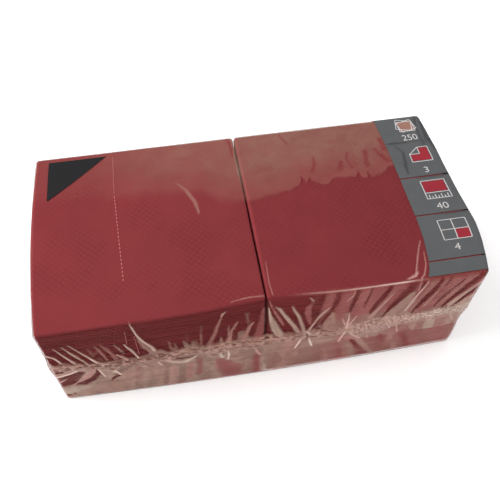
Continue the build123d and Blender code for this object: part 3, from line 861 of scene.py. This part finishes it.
def mottle_group():
    """Uneven colour in soft patches, as paper and ink have it."""
    group, entry, leave = new_group(
        "mottle",
        (
            ("Colour", "NodeSocketColor", (0.5, 0.5, 0.5, 1)),
            ("Deep Colour", "NodeSocketColor", (0.4, 0.4, 0.4, 1)),
            ("Size", "NodeSocketFloat", 30.0),
            ("Amount", "NodeSocketFloat", 0.3),
        ),
        (("Colour", "NodeSocketColor"),),
    )
    place = add_node(group, "ShaderNodeTexCoord")
    patches = add_node(group, "ShaderNodeTexNoise", inputs={"Detail": 4.0, "Roughness": 0.6})
    spread = remap(group, (0.35, 0.68))
    strength = add_node(group, "ShaderNodeMath", operation="MULTIPLY")
    mix = add_node(group, "ShaderNodeMix", data_type="RGBA")
    wire(group, place, "Object", patches, "Vector")
    wire(group, entry, "Size", patches, "Scale")
    wire(group, patches, "Fac", spread, "Value")
    wire(group, spread, "Result", strength, 0)
    wire(group, entry, "Amount", strength, 1)
    wire(group, strength, "Value", mix, "Factor")
    wire(group, entry, "Colour", mix, "A")
    wire(group, entry, "Deep Colour", mix, "B")
    wire(group, mix, "Result", leave, "Colour")
    return group


def emboss_group():
    """Fine diagonal lines that cross, as tissue is embossed, shown in soft patches."""
    group, entry, leave = new_group(
        "emboss",
        (("Pitch", "NodeSocketFloat", 0.0028),),
        (("Mask", "NodeSocketFloat"),),
    )
    place = add_node(group, "ShaderNodeTexCoord")
    split = add_node(group, "ShaderNodeSeparateXYZ")
    crossing = add_node(group, "ShaderNodeMath", operation="MAXIMUM")
    lines = remap(group, (0.5, 0.95))
    lines.interpolation_type = "SMOOTHSTEP"
    patches = add_node(group, "ShaderNodeTexNoise", inputs={"Scale": 28.0, "Detail": 3.0})
    seen = remap(group, (0.42, 0.66))
    shown = add_node(group, "ShaderNodeMath", operation="MULTIPLY")
    wire(group, place, "Object", split, "Vector")
    for index, operation in enumerate(("ADD", "SUBTRACT")):
        diagonal = add_node(group, "ShaderNodeMath", operation=operation)
        turns = add_node(group, "ShaderNodeMath", operation="DIVIDE")
        turned = add_node(group, "ShaderNodeMath", operation="MULTIPLY", inputs={1: 2 * pi})
        wave = add_node(group, "ShaderNodeMath", operation="SINE")
        wire(group, split, "X", diagonal, 0)
        wire(group, split, "Y", diagonal, 1)
        wire(group, diagonal, "Value", turns, 0)
        wire(group, entry, "Pitch", turns, 1)
        wire(group, turns, "Value", turned, 0)
        wire(group, turned, "Value", wave, 0)
        wire(group, wave, "Value", crossing, index)
    wire(group, crossing, "Value", lines, "Value")
    wire(group, place, "Object", patches, "Vector")
    wire(group, patches, "Fac", seen, "Value")
    wire(group, lines, "Result", shown, 0)
    wire(group, seen, "Result", shown, 1)
    wire(group, shown, "Value", leave, "Mask")
    return group


def crinkle_group():
    """The fine unevenness of thin film, as a height."""
    group, entry, leave = new_group(
        "crinkle",
        (("Size", "NodeSocketFloat", 60.0), ("Stretch", "NodeSocketVector", (1, 1, 1))),
        (("Height", "NodeSocketFloat"),),
    )
    place = add_node(group, "ShaderNodeTexCoord")
    stretched = add_node(group, "ShaderNodeVectorMath", operation="MULTIPLY")
    noise = add_node(
        group,
        "ShaderNodeTexNoise",
        inputs={"Detail": 3.0, "Roughness": 0.55, "Distortion": 0.8},
    )
    wire(group, place, "Object", stretched, 0)
    wire(group, entry, "Stretch", stretched, 1)
    wire(group, stretched, "Vector", noise, "Vector")
    wire(group, entry, "Size", noise, "Scale")
    wire(group, noise, "Fac", leave, "Height")
    return group


groups = {"mottle": mottle_group(), "emboss": emboss_group(), "crinkle": crinkle_group()}


def use_group(tree, name, **inputs):
    """A placed node group with its own values."""
    node = add_node(tree, "ShaderNodeGroup", node_tree=groups[name])
    for label, value in inputs.items():
        node.inputs[label.replace("_", " ")].default_value = value
    return node


def bumped(tree, source, output, distance):
    """A Bump node on a node's height output."""
    bump = add_node(tree, "ShaderNodeBump", inputs={"Distance": distance, "Strength": 1.0})
    wire(tree, source, output, bump, "Height")
    return bump


def paper_material():
    """Dyed tissue: crossing embossed lines on its flat sides, and each napkin darkened by its own amount, at
    random and partly as painted shade.
    """
    material, tree = new_material("napkin_tissue")
    mottle = use_group(
        tree,
        "mottle",
        Colour=linear(napkin_red),
        Deep_Colour=linear(napkin_deep_red),
        Size=22.0,
        Amount=0.35,
    )
    emboss = use_group(tree, "emboss", Pitch=0.0066)
    geometry = add_node(tree, "ShaderNodeNewGeometry")
    facing = add_node(tree, "ShaderNodeSeparateXYZ")
    upright = add_node(tree, "ShaderNodeMath", operation="ABSOLUTE")
    flat = remap(tree, (0.8, 0.98))
    on_flat = add_node(tree, "ShaderNodeMath", operation="MULTIPLY")
    shade = darkened(tree, emboss_tint)
    tone_and_shade = add_node(tree, "ShaderNodeAttribute", attribute_name="tone_and_shade")
    toned = darkened(tree, edge_tone_and_shade_tint)
    fibre = use_group(tree, "crinkle", Size=900.0, Stretch=(1, 1, 3))
    relief = add_node(tree, "ShaderNodeMath", operation="MULTIPLY_ADD", inputs={1: 0.35})
    bump = bumped(tree, relief, "Value", distance=0.0001)
    paper = add_node(tree, "ShaderNodeBsdfPrincipled", inputs={"Roughness": 0.95, "Specular IOR Level": 0.06})
    out = add_node(tree, "ShaderNodeOutputMaterial")
    wire(tree, geometry, "Normal", facing, "Vector")
    wire(tree, facing, "Z", upright, 0)
    wire(tree, upright, "Value", flat, "Value")
    wire(tree, flat, "Result", on_flat, 0)
    wire(tree, emboss, "Mask", on_flat, 1)
    wire(tree, on_flat, "Value", shade, "Factor")
    wire(tree, mottle, "Colour", shade, "A")
    wire(tree, fibre, "Height", relief, 0)
    wire(tree, on_flat, "Value", relief, 2)
    wire(tree, shade, "Result", toned, "A")
    wire(tree, tone_and_shade, "Fac", toned, "Factor")
    wire(tree, toned, "Result", paper, "Base Color")
    wire(tree, bump, "Normal", paper, "Normal")
    wire(tree, paper, "BSDF", out, "Surface")
    return material


def film_material():
    """Clear film: see-through, with a painted pale sheen where it stands off and mirrors the ground, painted
    glints, and a real gloss at grazing angles.
    """
    material, tree = new_material("clear_wrap_film")
    painted_sheen, glint, pink, grain_and_sparkle = (
        add_node(tree, "ShaderNodeAttribute", attribute_name=name)
        for name in ("painted_sheen", "glint", "pink", "grain_and_sparkle")
    )
    crinkle = use_group(tree, "crinkle", Size=70.0, Stretch=(1, 1, 0.6))
    speck = use_group(tree, "crinkle", Size=620.0, Stretch=(1, 1, 0.8))
    painted_sheen_colour = add_node(tree, "ShaderNodeMix", data_type="RGBA")
    painted_sheen_colour.inputs["A"].default_value = linear(sheen_beige)
    painted_sheen_colour.inputs["B"].default_value = linear(sheen_pink)
    bright = add_node(tree, "ShaderNodeMix", data_type="RGBA")
    bright.inputs["B"].default_value = linear(glint_white)

    # The painted sheen breaks up a little, and into specks where the weld is granular
    uneven = remap(tree, (0.3, 0.7), (0.8, 1.2))
    specks = remap(tree, (0.42, 0.56), (-0.42, 0.42))
    speckle = add_node(tree, "ShaderNodeMath", operation="MULTIPLY_ADD", inputs={2: 1.0})
    even = add_node(tree, "ShaderNodeMath", operation="MULTIPLY")
    broken = add_node(tree, "ShaderNodeMath", operation="MULTIPLY")
    glow = add_node(tree, "ShaderNodeMath", operation="MULTIPLY_ADD", inputs={1: 0.75})
    cover = add_node(tree, "ShaderNodeClamp")
    bump = bumped(tree, crinkle, "Height", distance=0.0006)
    sheet = add_node(tree, "ShaderNodeBsdfPrincipled", inputs={"Roughness": 0.35, "Specular IOR Level": 0.4})
    gloss = add_node(tree, "ShaderNodeBsdfGlossy", inputs={"Roughness": 0.2, "Color": gloss_tint})
    fresnel = add_node(tree, "ShaderNodeFresnel", inputs={"IOR": 1.45})
    grazing = remap(tree, (0.06, 1.0), (0.0, 0.55))
    mixed = add_node(tree, "ShaderNodeMixShader")
    out = add_node(tree, "ShaderNodeOutputMaterial")

    wire(tree, pink, "Fac", painted_sheen_colour, "Factor")
    wire(tree, painted_sheen_colour, "Result", bright, "A")
    wire(tree, glint, "Fac", bright, "Factor")
    wire(tree, crinkle, "Height", uneven, "Value")
    wire(tree, speck, "Height", specks, "Value")
    wire(tree, specks, "Result", speckle, 0)
    wire(tree, grain_and_sparkle, "Fac", speckle, 1)
    wire(tree, painted_sheen, "Fac", even, 0)
    wire(tree, uneven, "Result", even, 1)
    wire(tree, even, "Value", broken, 0)
    wire(tree, speckle, "Value", broken, 1)
    wire(tree, glint, "Fac", glow, 0)
    wire(tree, broken, "Value", glow, 2)
    wire(tree, glow, "Value", cover, "Value")
    wire(tree, bright, "Result", sheet, "Base Color")
    wire(tree, cover, "Result", sheet, "Alpha")
    wire(tree, bump, "Normal", sheet, "Normal")
    wire(tree, bump, "Normal", gloss, "Normal")
    wire(tree, bump, "Normal", fresnel, "Normal")
    wire(tree, fresnel, "Fac", grazing, "Value")
    wire(tree, grazing, "Result", mixed, "Fac")
    wire(tree, sheet, "BSDF", mixed, 1)
    wire(tree, gloss, "BSDF", mixed, 2)
    wire(tree, mixed, "Shader", out, "Surface")
    return material


def ink_material(name, colour, deep_colour, roughness):
    """Printing ink on film: nearly even, darker in the film's folds as painted shade, with the film's
    crinkle.
    """
    material, tree = new_material(name)
    mottle = use_group(
        tree,
        "mottle",
        Colour=linear(colour),
        Deep_Colour=linear(deep_colour),
        Size=40.0,
        Amount=0.5,
    )
    crinkle = use_group(tree, "crinkle", Size=90.0)
    bump = bumped(tree, crinkle, "Height", distance=0.0004)
    fold_shade = add_node(tree, "ShaderNodeAttribute", attribute_name="fold_shade")
    folded = darkened(tree, fold_shade_tint)
    ink = add_node(
        tree,
        "ShaderNodeBsdfPrincipled",
        inputs={"Roughness": roughness, "Specular IOR Level": 0.12},
    )
    out = add_node(tree, "ShaderNodeOutputMaterial")
    wire(tree, mottle, "Colour", folded, "A")
    wire(tree, fold_shade, "Fac", folded, "Factor")
    wire(tree, folded, "Result", ink, "Base Color")
    wire(tree, bump, "Normal", ink, "Normal")
    wire(tree, ink, "BSDF", out, "Surface")
    return material


paper = paper_material()
film = film_material()
grey_ink = ink_material("grey_printing_ink", band_grey, band_deep_grey, roughness=0.6)
black_ink = ink_material("black_printing_ink", corner_black, corner_deep_black, roughness=0.6)
pale_ink = ink_material("pale_printing_ink", mark_pale, mark_cool_pale, roughness=0.5)
red_ink = ink_material("red_printing_ink", mark_red, mark_deep_red, roughness=0.5)
tan_ink = ink_material("tan_printing_ink", mark_tan, mark_deep_tan, roughness=0.5)
perforation_ink = ink_material("perforation_edge", perforation_pink, perforation_deep_pink, roughness=0.6)


# The napkins


def napkin_outline(per_side, arc_steps):
    """A square with rounded corners, as points and their outward directions, for one napkin."""
    half = napkin_side / 2
    reach = half - napkin_corner
    points = []
    outward = []
    for quarter in range(4):
        turn = quarter * pi / 2
        centre = np.array((cos(turn + pi / 4), sin(turn + pi / 4))) * reach * 2**0.5
        for step in range(arc_steps):
            angle = turn - pi / 4 + (step / arc_steps - 0.5) * pi / 2 + pi / 2
            way = np.array((cos(angle), sin(angle)))
            points.append(centre + way * napkin_corner)
            outward.append(way)
        way = np.array((cos(turn + pi / 2), sin(turn + pi / 2)))
        across = np.array((-way[1], way[0]))
        for step in range(per_side - arc_steps):
            share = step / (per_side - arc_steps)
            points.append(way * half + across * reach * (2 * share - 1))
            outward.append(way)
    return np.array(points), np.array(outward)


def napkin_stack(name, node, centre, seed, edge_tones_and_shade, top_tone, fullness):
    """One stack: every napkin is its own closed shape, a little out of line with its neighbours."""
    chance = np.random.default_rng(seed)
    outline, outward = napkin_outline(per_side=18, arc_steps=4)
    count = len(outline)
    # From the middle of the underside to the middle of the top: inset, rise and share of the bend
    rings = (
        (2.6, 0.0, 0.0),
        (1.3, 0.0, 0.3),
        (fold_inset, 0.0, 0.9),
        (0.0, fold_inset, 1.0),
        (0.0, napkin_thickness - fold_inset, 1.0),
        (fold_inset, napkin_thickness, 0.9),
        (1.3, napkin_thickness, 0.3),
        (2.6, napkin_thickness, 0.0),
    )
    around = np.arange(count)
    points = []
    faces = []
    tones = []
    for index in range(napkins_per_stack):
        base = stack_base + index * napkin_pitch
        from_top = napkins_per_stack - 1 - index
        bend = -upper_drop * max(0, 1 - from_top / upper_pressed)
        bend += lower_drop * max(0, 1 - index / lower_pressed)
        shift = chance.normal(0, napkin_drift, 2)
        phase = chance.uniform(0, 2 * pi, 2)
        ripple = napkin_ripple * np.sin(around * 0.9 + phase[0]) * np.sin(around * 0.23 + phase[1])
        start = len(points) * count
        # Each napkin is darkened by its own amount at random, within a range for its stack that also paints
        # light and shade
        tone_and_shade = top_tone if from_top == 0 else chance.uniform(*edge_tones_and_shade)
        tones.append(np.full(count * len(rings), tone_and_shade))
        for inset, rise, share in rings:
            ring = outline * (1 - 2 * inset / napkin_side) + shift * min(1, (from_top + 1) / 4)
            ring = ring + outward * ripple[:, None] * (inset < 1)
            height = np.full((count, 1), base + rise + bend * share)
            points.append(np.hstack([ring, height]))
        for level in range(len(rings) - 1):
            low = start + level * count + around
            high = low + count
            onward = np.roll(low, -1)
            above = np.roll(high, -1)
            faces.extend(np.stack([low, onward, above, high], axis=1).tolist())
        faces.append((start + around[::-1]).tolist())
        faces.append((start + (len(rings) - 1) * count + around).tolist())
    points = np.concatenate(points) + np.array((centre, 0, 0))
    points[:, 1] += (left_low[1] + left_high[1]) / 2
    points[:, 0] -= np.sign(centre) * gap_closing * np.exp(-np.abs(points[:, 0]) / gap_closing_reach)
    end_share = np.clip((np.abs(points[:, 0]) - fullness_start) / fullness_length, 0, 1)
    depth_share = np.clip(2 * points[:, 1] / napkin_side, -1, 1)
    points[:, 0] += np.sign(centre) * fullness * end_share**2 * (1 - depth_share**2)
    looks = {"tone_and_shade": np.concatenate(tones)}
    settled = lean_end(settle(points))
    add_piece(name, settled, faces, paper, "napkin_paper", (node,), looks, smooth=False)


# The film


def halved(values):
    """The same rows with one more between each two."""
    middles = (values[:-1] + values[1:]) / 2
    return np.sort(np.concatenate([values, middles]))


def film_rows():
    """Where the film's mesh has its rows, in X, Y and Z. They are closer near the weld and the rims."""
    columns, ranks, levels = 281, 58, 79
    xs = np.linspace(-film_length / 2, film_length / 2, columns)
    ys = np.linspace(-film_depth / 2, film_depth / 2, ranks)
    middle = weld_height_share * film_height
    spread = np.linspace(-1, 1, levels)
    spread = 0.66 * spread + 0.34 * spread**3
    zs = np.where(spread < 0, middle + spread * middle, middle + spread * (film_height - middle))
    edge_rows = np.array((0.35, 1.0, 2.0)) * upper_round / 3
    zs = np.unique(np.concatenate([zs, film_height - edge_rows, edge_rows * 0.5]))
    rim_rows = np.array((0.9, 1.7, 2.3, 2.9, 3.6, 4.6, 6.0))
    ys = np.unique(np.concatenate([ys, ys[0] + rim_rows, ys[-1] - edge_rows]))
    near_gap = np.linspace(-4.5, 6.0, 15)
    xs = np.unique(np.concatenate([xs[np.abs(xs - 0.75) > 5.6], near_gap]))
    return xs, ys, zs


def film_skin(name, xs, ys, zs, sides):
    """Some sides of the wrap as one piece."""
    points, faces = box_skin(xs, ys, zs, sides)
    shaped, looks = shape_film(points)
    add_piece(name, shaped, faces.tolist(), film, "clear_film", ("film_wrap",), looks)


def film_face_skins():
    """The front, the top and both ends, with finer meshes than the back's for their small folds."""
    xs, ys, zs = film_rows()
    film_skin("film_front_skin", halved(xs), ys, halved(zs), ("front",))
    film_skin("film_top_skin", halved(xs), halved(ys), zs, ("top",))
    film_skin("film_end_skins", xs, halved(ys), halved(zs), ("left", "right"))


def film_back_and_base():
    """The back of the wrap, and its underside closed by one flat face."""
    xs, ys, zs = film_rows()
    points, faces = box_skin(xs, ys, zs, ("back",))
    low_rim, _ = box_skin(xs, ys, zs[:2], ("front", "left", "right"))
    added = (low_rim[:, 2] < near_zero) & (low_rim[:, 1] < film_depth / 2 - near_zero)
    points = np.concatenate([points, low_rim[added]])
    rim = np.nonzero(points[:, 2] < near_zero)[0]
    bearing = np.arctan2(points[rim, 1] / film_depth, points[rim, 0] / film_length)
    rim = rim[np.argsort(bearing)]
    shaped, looks = shape_film(points)
    inner_ring = points[rim] * np.array((*base_ring_share, 0))
    inner_ids = len(shaped) + np.arange(len(rim))
    shaped = np.concatenate([shaped, settle(inner_ring)])
    inner_look = np.full(len(rim), base_look)
    looks = {name: np.concatenate([values, inner_look]) for name, values in looks.items()}
    faces = [list(f) for f in faces]
    for step in range(len(rim)):
        after = (step + 1) % len(rim)
        faces.append([rim[after], rim[step], inner_ids[step], inner_ids[after]])
    faces.append(inner_ids[::-1].tolist())
    add_piece("film_wrap_skin", shaped, faces, film, "clear_film", ("film_wrap",), looks)


# The print


# The band's left edge as Y and X, and the folds where its print takes painted shade, as routes of (X, Y,
# width)
band_edge = (
    (-99, 147.0), (-90, 150.5), (-80, 152.5), (-55, 154.8), (-30, 155.5), (20, 155.5), (70, 154.4),
    (102, 152.4),
)
band_fold_shades = (
    ((197, 98, 3), (193, 84, 2.4), (192, 60, 1.6)),
    ((201, 92, 4), (198, 70, 5), (203, 48, 4)),
    ((162, 63, 1), (168, 52, 3), (165, 34, 4), (164, 24, 2)),
    ((158, 66, 1.4), (176, 65, 1), (196, 63, 1)),
    ((170, 18, 1.4), (190, 17.5, 2.2), (205, 19, 1)),
    ((172, -31, 1.4), (190, -30, 1.6), (206, -31, 1)),
)


def bow_band(points):
    """The band's left edge isn't straight: it runs out to the left at both rims."""
    edge = np.interp(points[:, 1], *np.transpose(band_edge))
    reach = (film_length / 2 - points[:, 0]) / (film_length / 2 - band_left)
    moved = points.copy()
    moved[:, 0] += (edge - band_left) * reach
    return moved


def band_panels():
    """The grey band in five panels, over the top, the right end and the back rim."""
    lines = [share * film_depth / 2 for share in panel_line_shares]
    gaps = [panel_line / 2] * (len(lines) - 1) + [panel_line / 6]
    starts = [band_front] + [line + gap for line, gap in zip(lines, gaps)]
    ends = [line - gap for line, gap in zip(lines, gaps)] + [film_depth / 2]
    all_points = []
    all_faces = []
    all_fold_shades = []
    count = 0
    for low, high in zip(starts, ends):
        xs = np.linspace(band_left, film_length / 2, 34)
        ys = np.linspace(low, high, 18)
        zs = np.linspace(film_height - band_drop, film_height, 16)
        sides = ["top", "right"] + (["back"] if high == ends[-1] else [])
        points, faces = box_skin(xs, ys, zs, sides)
        shaped, _ = shape_film(bow_band(points), ink_lift)
        all_points.append(shaped)
        all_faces.extend((faces + count).tolist())
        folds = [streak(points[:, 0], points[:, 1], route, 1.0) for route in band_fold_shades]
        all_fold_shades.append(np.max(folds, axis=0))
        count += len(shaped)
    points = np.concatenate(all_points)
    looks = {"fold_shade": np.concatenate(all_fold_shades)}
    add_piece("grey_band_print", points, all_faces, grey_ink, "grey_ink", ("grey_band",), looks)


def dark_corner_print():
    """The plain dark corner at the back left, in small faces that follow the film."""
    steps = 24
    corner = np.array((corner_low[0], corner_high[1]))
    across = corner_high[0] - corner_low[0]
    down = corner_high[1] - corner_low[1]
    points = []
    ids = {}
    for row in range(steps + 1):
        for column in range(steps + 1 - row):
            ids[row, column] = len(points)
            points.append((corner[0] + across * column / steps, corner[1] - down * row / steps, film_height))
    faces = []
    for row in range(steps):
        for column in range(steps - row):
            faces.append([ids[row, column], ids[row + 1, column], ids[row, column + 1]])
            if column + row + 1 < steps:
                faces.append([ids[row + 1, column], ids[row + 1, column + 1], ids[row, column + 1]])
    shaped, _ = shape_film(np.array(points), ink_lift)
    add_piece("dark_corner_print", shaped, faces, black_ink, "dark_ink", ("dark_corner",))


# Measures and places of the band's marks, in X and Y on the top
mark_line = 0.8
stroke_step = 3
field_step = 1.5
leaf_size = (16, 13)
leaf_turns = ((14, (177.5, 79)), (0, (175, 80)), (-14, (172, 84)))
tan_leaf = leaf_turns[1]
red_fields = ((175, 193, 39, 47.2), (184.8, 193, 47.2, 56), (174, 194, -2.5, 11), (184, 194.5, -60.5, -50))
ruler_steps = 8
number_height = 7.6
number_font_ratio = 1.4
numbers = (("250", (182, 71)), ("3", (184, 26)), ("40", (183, -21)), ("4", (181, -70)))


def stroke(start, end):
    """A straight printed line on the top, cut into short faces that follow the film."""
    start, end = np.array(start, float), np.array(end, float)
    run = end - start
    length = np.hypot(*run)
    side = np.array((-run[1], run[0])) / length * mark_line / 2
    steps = max(1, round(length / stroke_step))
    points = []
    for step in range(steps + 1):
        middle = start + run * step / steps
        points.extend((middle - side, middle + side))
    points = np.column_stack([points, np.full(len(points), film_height)])
    shaped, _ = shape_film(points, mark_lift)
    faces = [[2 * i, 2 * i + 2, 2 * i + 3, 2 * i + 1] for i in range(steps)]
    return shaped, faces


def closed_strokes(corners):
    """A closed line through the corners."""
    return [stroke(start, end) for start, end in zip(corners, corners[1:] + corners[:1])]


def join(parts):
    """Several (points, faces) as one."""
    points = []
    faces = []
    count = 0
    for some_points, some_faces in parts:
        points.append(some_points)
        faces.extend([[i + count for i in face] for face in some_faces])
        count += len(some_points)
    return np.concatenate(points), faces


def rectangle(x_low, x_high, y_low, y_high):
    """The four corners of a rectangle on the top."""
    return [(x_low, y_low), (x_high, y_low), (x_high, y_high), (x_low, y_high)]


def leaf(degrees, pivot):
    """The four corners of a napkin turned about its lower left corner."""
    along = np.array((cos(radians(degrees)), sin(radians(degrees))))
    up = np.array((-along[1], along[0]))
    corner = np.array(pivot, float)
    far_corner = corner + along * leaf_size[0]
    rise = up * leaf_size[1]
    return [tuple(place) for place in (corner, far_corner, far_corner + rise, corner + rise)]


def leaf_mark():
    """Three napkins, fanned out."""
    return [line for turned in leaf_turns for line in closed_strokes(leaf(*turned))]


def folded_mark():
    """A folded square with one corner turned over."""
    body = [(174, 38), (194, 38), (194, 57), (184, 57), (174, 48)]
    return closed_strokes(body) + [stroke((184, 57), (184, 48)), stroke((184, 48), (174, 48))]


def ruler_mark():
    """A ruled strip under a red field."""
    left, right = 173, 195
    strokes = closed_strokes(rectangle(left, right, -11, 12))
    strokes.append(stroke((left, -3.5), (right, -3.5)))
    for step in range(1, ruler_steps):
        x = left + (right - left) * step / ruler_steps
        strokes.append(stroke((x, -11), (x, -8 + 2 * (step % 2))))
    return strokes


def quarter_mark():
    """A square sheet with its folds."""
    strokes = closed_strokes(rectangle(172, 195, -61, -38))
    return strokes + [stroke((172, -49.5), (195, -49.5)), stroke((183.5, -61), (183.5, -38))]


def field(corners):
    """A filled four-sided field on the band, in small faces that follow the film."""
    start, right, _, left = (np.array(corner, float) for corner in corners)
    columns, rows = (round(np.hypot(*(end - start)) / field_step) + 1 for end in (right, left))
    shares = np.meshgrid(np.linspace(0, 1, columns), np.linspace(0, 1, rows), indexing="ij")
    across, along = (share.ravel()[:, None] for share in shares)
    flat = start + across * (right - start) + along * (left - start)
    shaped, _ = shape_film(np.column_stack([flat, np.full(len(flat), film_height)]), field_lift)
    return shaped, grid_faces(np.arange(len(flat)).reshape(columns, rows)).tolist()


def number_mesh(text, centre):
    """A plain number lying on the film, from the built-in font."""
    curve = bpy.data.curves.new("number_" + text, "FONT")
    curve.body = text
    curve.size = number_height * number_font_ratio
    curve.align_x = "CENTER"
    curve.align_y = "CENTER"
    holder = bpy.data.objects.new("number_holder", curve)
    bpy.context.scene.collection.objects.link(holder)
    bpy.context.view_layer.update()
    mesh = bpy.data.meshes.new_from_object(holder)
    points = np.array([v.co for v in mesh.vertices])
    faces = [list(p.vertices) for p in mesh.polygons]
    bpy.data.objects.remove(holder)
    bpy.data.meshes.remove(mesh)
    points[:, 0] += centre[0]
    points[:, 1] += centre[1]
    points[:, 2] = film_height
    shaped, _ = shape_film(points, mark_lift)
    return shaped, faces


def band_marks():
    """Pale outlines and plain numbers on the band, with red fields and a tan one."""
    pale = leaf_mark() + folded_mark() + ruler_mark() + quarter_mark()
    pale += [number_mesh(*number) for number in numbers]
    red = [field(rectangle(*sides)) for sides in red_fields]
    for name, parts, ink in (
        ("band_pale_marks", pale, pale_ink),
        ("band_red_fields", red, red_ink),
        ("band_tan_field", [field(leaf(*tan_leaf))], tan_ink),
    ):
        add_piece(name, *join(parts), ink, "grey_ink", smooth=False)


def perforation(name, route, pitch, width):
    """A row of short cut marks along a route on the sharp box."""
    parts = []
    for start, end in zip(route, route[1:]):
        start, end = np.array(start, float), np.array(end, float)
        length = np.linalg.norm(end - start)
        way = (end - start) / length
        side = np.array((1.0, 0, 0)) * width / 2
        for step in range(int(length / pitch)):
            near = start + way * (step + 0.2) * pitch
            far = start + way * (step + 0.75) * pitch
            corners = np.array((near - side, near + side, far + side, far - side))
            shaped, _ = shape_film(corners, cut_lift)
            parts.append((shaped, [[0, 1, 2, 3]]))
    add_piece(name, *join(parts), perforation_ink, "clear_film", smooth=False)


def perforations():
    """The tear line round the pack at its left, over the top, the front and the back."""
    front, back = -film_depth / 2, film_depth / 2
    weld = weld_height_share * film_height
    over_top = ((-123, -58), (-124.6, -5), (-126, 45), (-125.2, back - 6))
    perforation("tear_line_top", [(x, y, film_height) for x, y in over_top], pitch=4.4, width=0.8)
    for name, y, (upper_x, upper_z), (lower_x, lower_z), width in (
        ("tear_line_front_left", front, (-126.6, film_height - 12), (-128, weld + 30), 0.9),
        ("tear_line_front_right", front, (-120, film_height - 22), (-119.5, weld + 8), 0.9),
        ("tear_line_front_low", front, (-125, weld - 6), (-125, 4), 0.7),
        ("tear_line_back", back, (-120, film_height - 6), (-122, 4), 0.7),
    ):
        perforation(name, [(upper_x, y, upper_z), (lower_x, y, lower_z)], pitch=3.4, width=width)


# The studio


def shown_white(tree):
    """1 for rays from the camera, and for what gloss and clear film show. 0 for light on the pack."""
    path = add_node(tree, "ShaderNodeLightPath")
    seen = add_node(tree, "ShaderNodeMath", operation="ADD")
    seen_all = add_node(tree, "ShaderNodeMath", operation="ADD", use_clamp=True)
    wire(tree, path, "Is Camera Ray", seen, 0)
    wire(tree, path, "Is Glossy Ray", seen, 1)
    wire(tree, seen, "Value", seen_all, 0)
    wire(tree, path, "Is Transmission Ray", seen_all, 1)
    return seen_all


def studio_floor(size, glow_strength):
    """A plain white floor that keeps the pack's shadow."""
    mesh = bpy.data.meshes.new("floor")
    corners = [(-size, -size, 0), (size, -size, 0), (size, size, 0), (-size, size, 0)]
    mesh.from_pydata(corners, [], [(0, 1, 2, 3)])
    floor = bpy.data.objects.new("floor", mesh)
    bpy.context.scene.collection.objects.link(floor)
    material, tree = new_material("white_floor")
    matt = add_node(tree, "ShaderNodeBsdfDiffuse", inputs={"Color": (0.8, 0.8, 0.8, 1)})
    glow = add_node(tree, "ShaderNodeEmission", inputs={"Color": (1, 1, 1, 1)})
    strength = add_node(tree, "ShaderNodeMath", operation="MULTIPLY", inputs={1: glow_strength})
    both = add_node(tree, "ShaderNodeAddShader")
    out = add_node(tree, "ShaderNodeOutputMaterial")
    wire(tree, shown_white(tree), "Value", strength, 0)
    wire(tree, strength, "Value", glow, "Strength")
    wire(tree, matt, "BSDF", both, 0)
    wire(tree, glow, "Emission", both, 1)
    wire(tree, both, "Shader", out, "Surface")
    mesh.materials.append(material)


def studio_world(fill):
    """White where it is seen or mirrored, and an even fill light otherwise."""
    world = bpy.data.worlds.new("studio")
    world.use_nodes = True
    tree = world.node_tree
    tree.nodes.clear()
    strength = remap(tree, (0.0, 1.0), (fill, 1.0))
    backdrop = add_node(tree, "ShaderNodeBackground", inputs={"Color": (1, 1, 1, 1)})
    out = add_node(tree, "ShaderNodeOutputWorld")
    wire(tree, shown_white(tree), "Value", strength, "Value")
    wire(tree, strength, "Result", backdrop, "Strength")
    wire(tree, backdrop, "Background", out, "Surface")
    bpy.context.scene.world = world


def set_up(name, data, side, upward, back, place):
    """A lamp or a camera as an object, with its axes and its place in metres."""
    holder = bpy.data.objects.new(name, data)
    bpy.context.scene.collection.objects.link(holder)
    rows = [(side[row], upward[row], back[row], place[row]) for row in range(3)]
    holder.matrix_world = Matrix(rows + [(0, 0, 0, 1)])
    return holder


def area_light(name, place, target, size, watts):
    """A soft square lamp that points at the target."""
    lamp = bpy.data.lights.new(name, "AREA")
    lamp.size = size
    lamp.energy = watts
    place, target = np.array(place, float), np.array(target, float)
    back = (place - target) / np.linalg.norm(place - target)
    side = np.cross((0, 1, 0), back)
    side /= np.linalg.norm(side)
    set_up(name, lamp, side, np.cross(back, side), back, place)


def photo_camera():
    """The camera, at the angle and distance from which the pack is shown."""
    azimuth, elevation, roll = radians(-10.177), radians(55.337), radians(0.688)
    distance, lens = 769.96, 47.13
    target = np.array((10.727, 50.154, 0.0))
    back = np.array((sin(azimuth) * cos(elevation), -cos(azimuth) * cos(elevation), sin(elevation)))
    level = np.cross((0, 0, 1), back)
    level /= np.linalg.norm(level)
    upright = np.cross(back, level)
    side = cos(roll) * level + sin(roll) * upright
    upward = -sin(roll) * level + cos(roll) * upright
    data = bpy.data.cameras.new("camera")
    data.lens = lens
    data.sensor_width = 36.0
    data.clip_start = 0.01
    camera = set_up("camera", data, side, upward, back, (target + back * distance) * MM)
    bpy.context.scene.camera = camera


left_centre = (left_low[0] + left_high[0]) / 2
right_centre = (right_low[0] + right_high[0]) / 2
napkin_stack(
    "left_napkin_stack",
    "left_napkins",
    left_centre,
    seed=5,
    edge_tones_and_shade=(0.2, 1.2),
    top_tone=0.58,
    fullness=4.5,
)
# The right stack's napkin edges are darkened less than the left's: painted light on its front.
napkin_stack(
    "right_napkin_stack",
    "right_napkins",
    right_centre,
    seed=6,
    edge_tones_and_shade=(0.0, 0.3),
    top_tone=0.68,
    fullness=0.3,
)
film_face_skins()
film_back_and_base()
band_panels()
dark_corner_print()
band_marks()
perforations()

studio_floor(size=6.0, glow_strength=0.34)
studio_world(fill=0.80)
area_light("key_light", place=(-1.0, 0.25, 1.25), target=(0, 0, 0.1), size=1.2, watts=27.0)
area_light("low_light", place=(1.3, -0.9, 0.35), target=(0.15, 0, 0.08), size=0.7, watts=2.0)
photo_camera()
bpy.context.scene.view_settings.view_transform = "Standard"
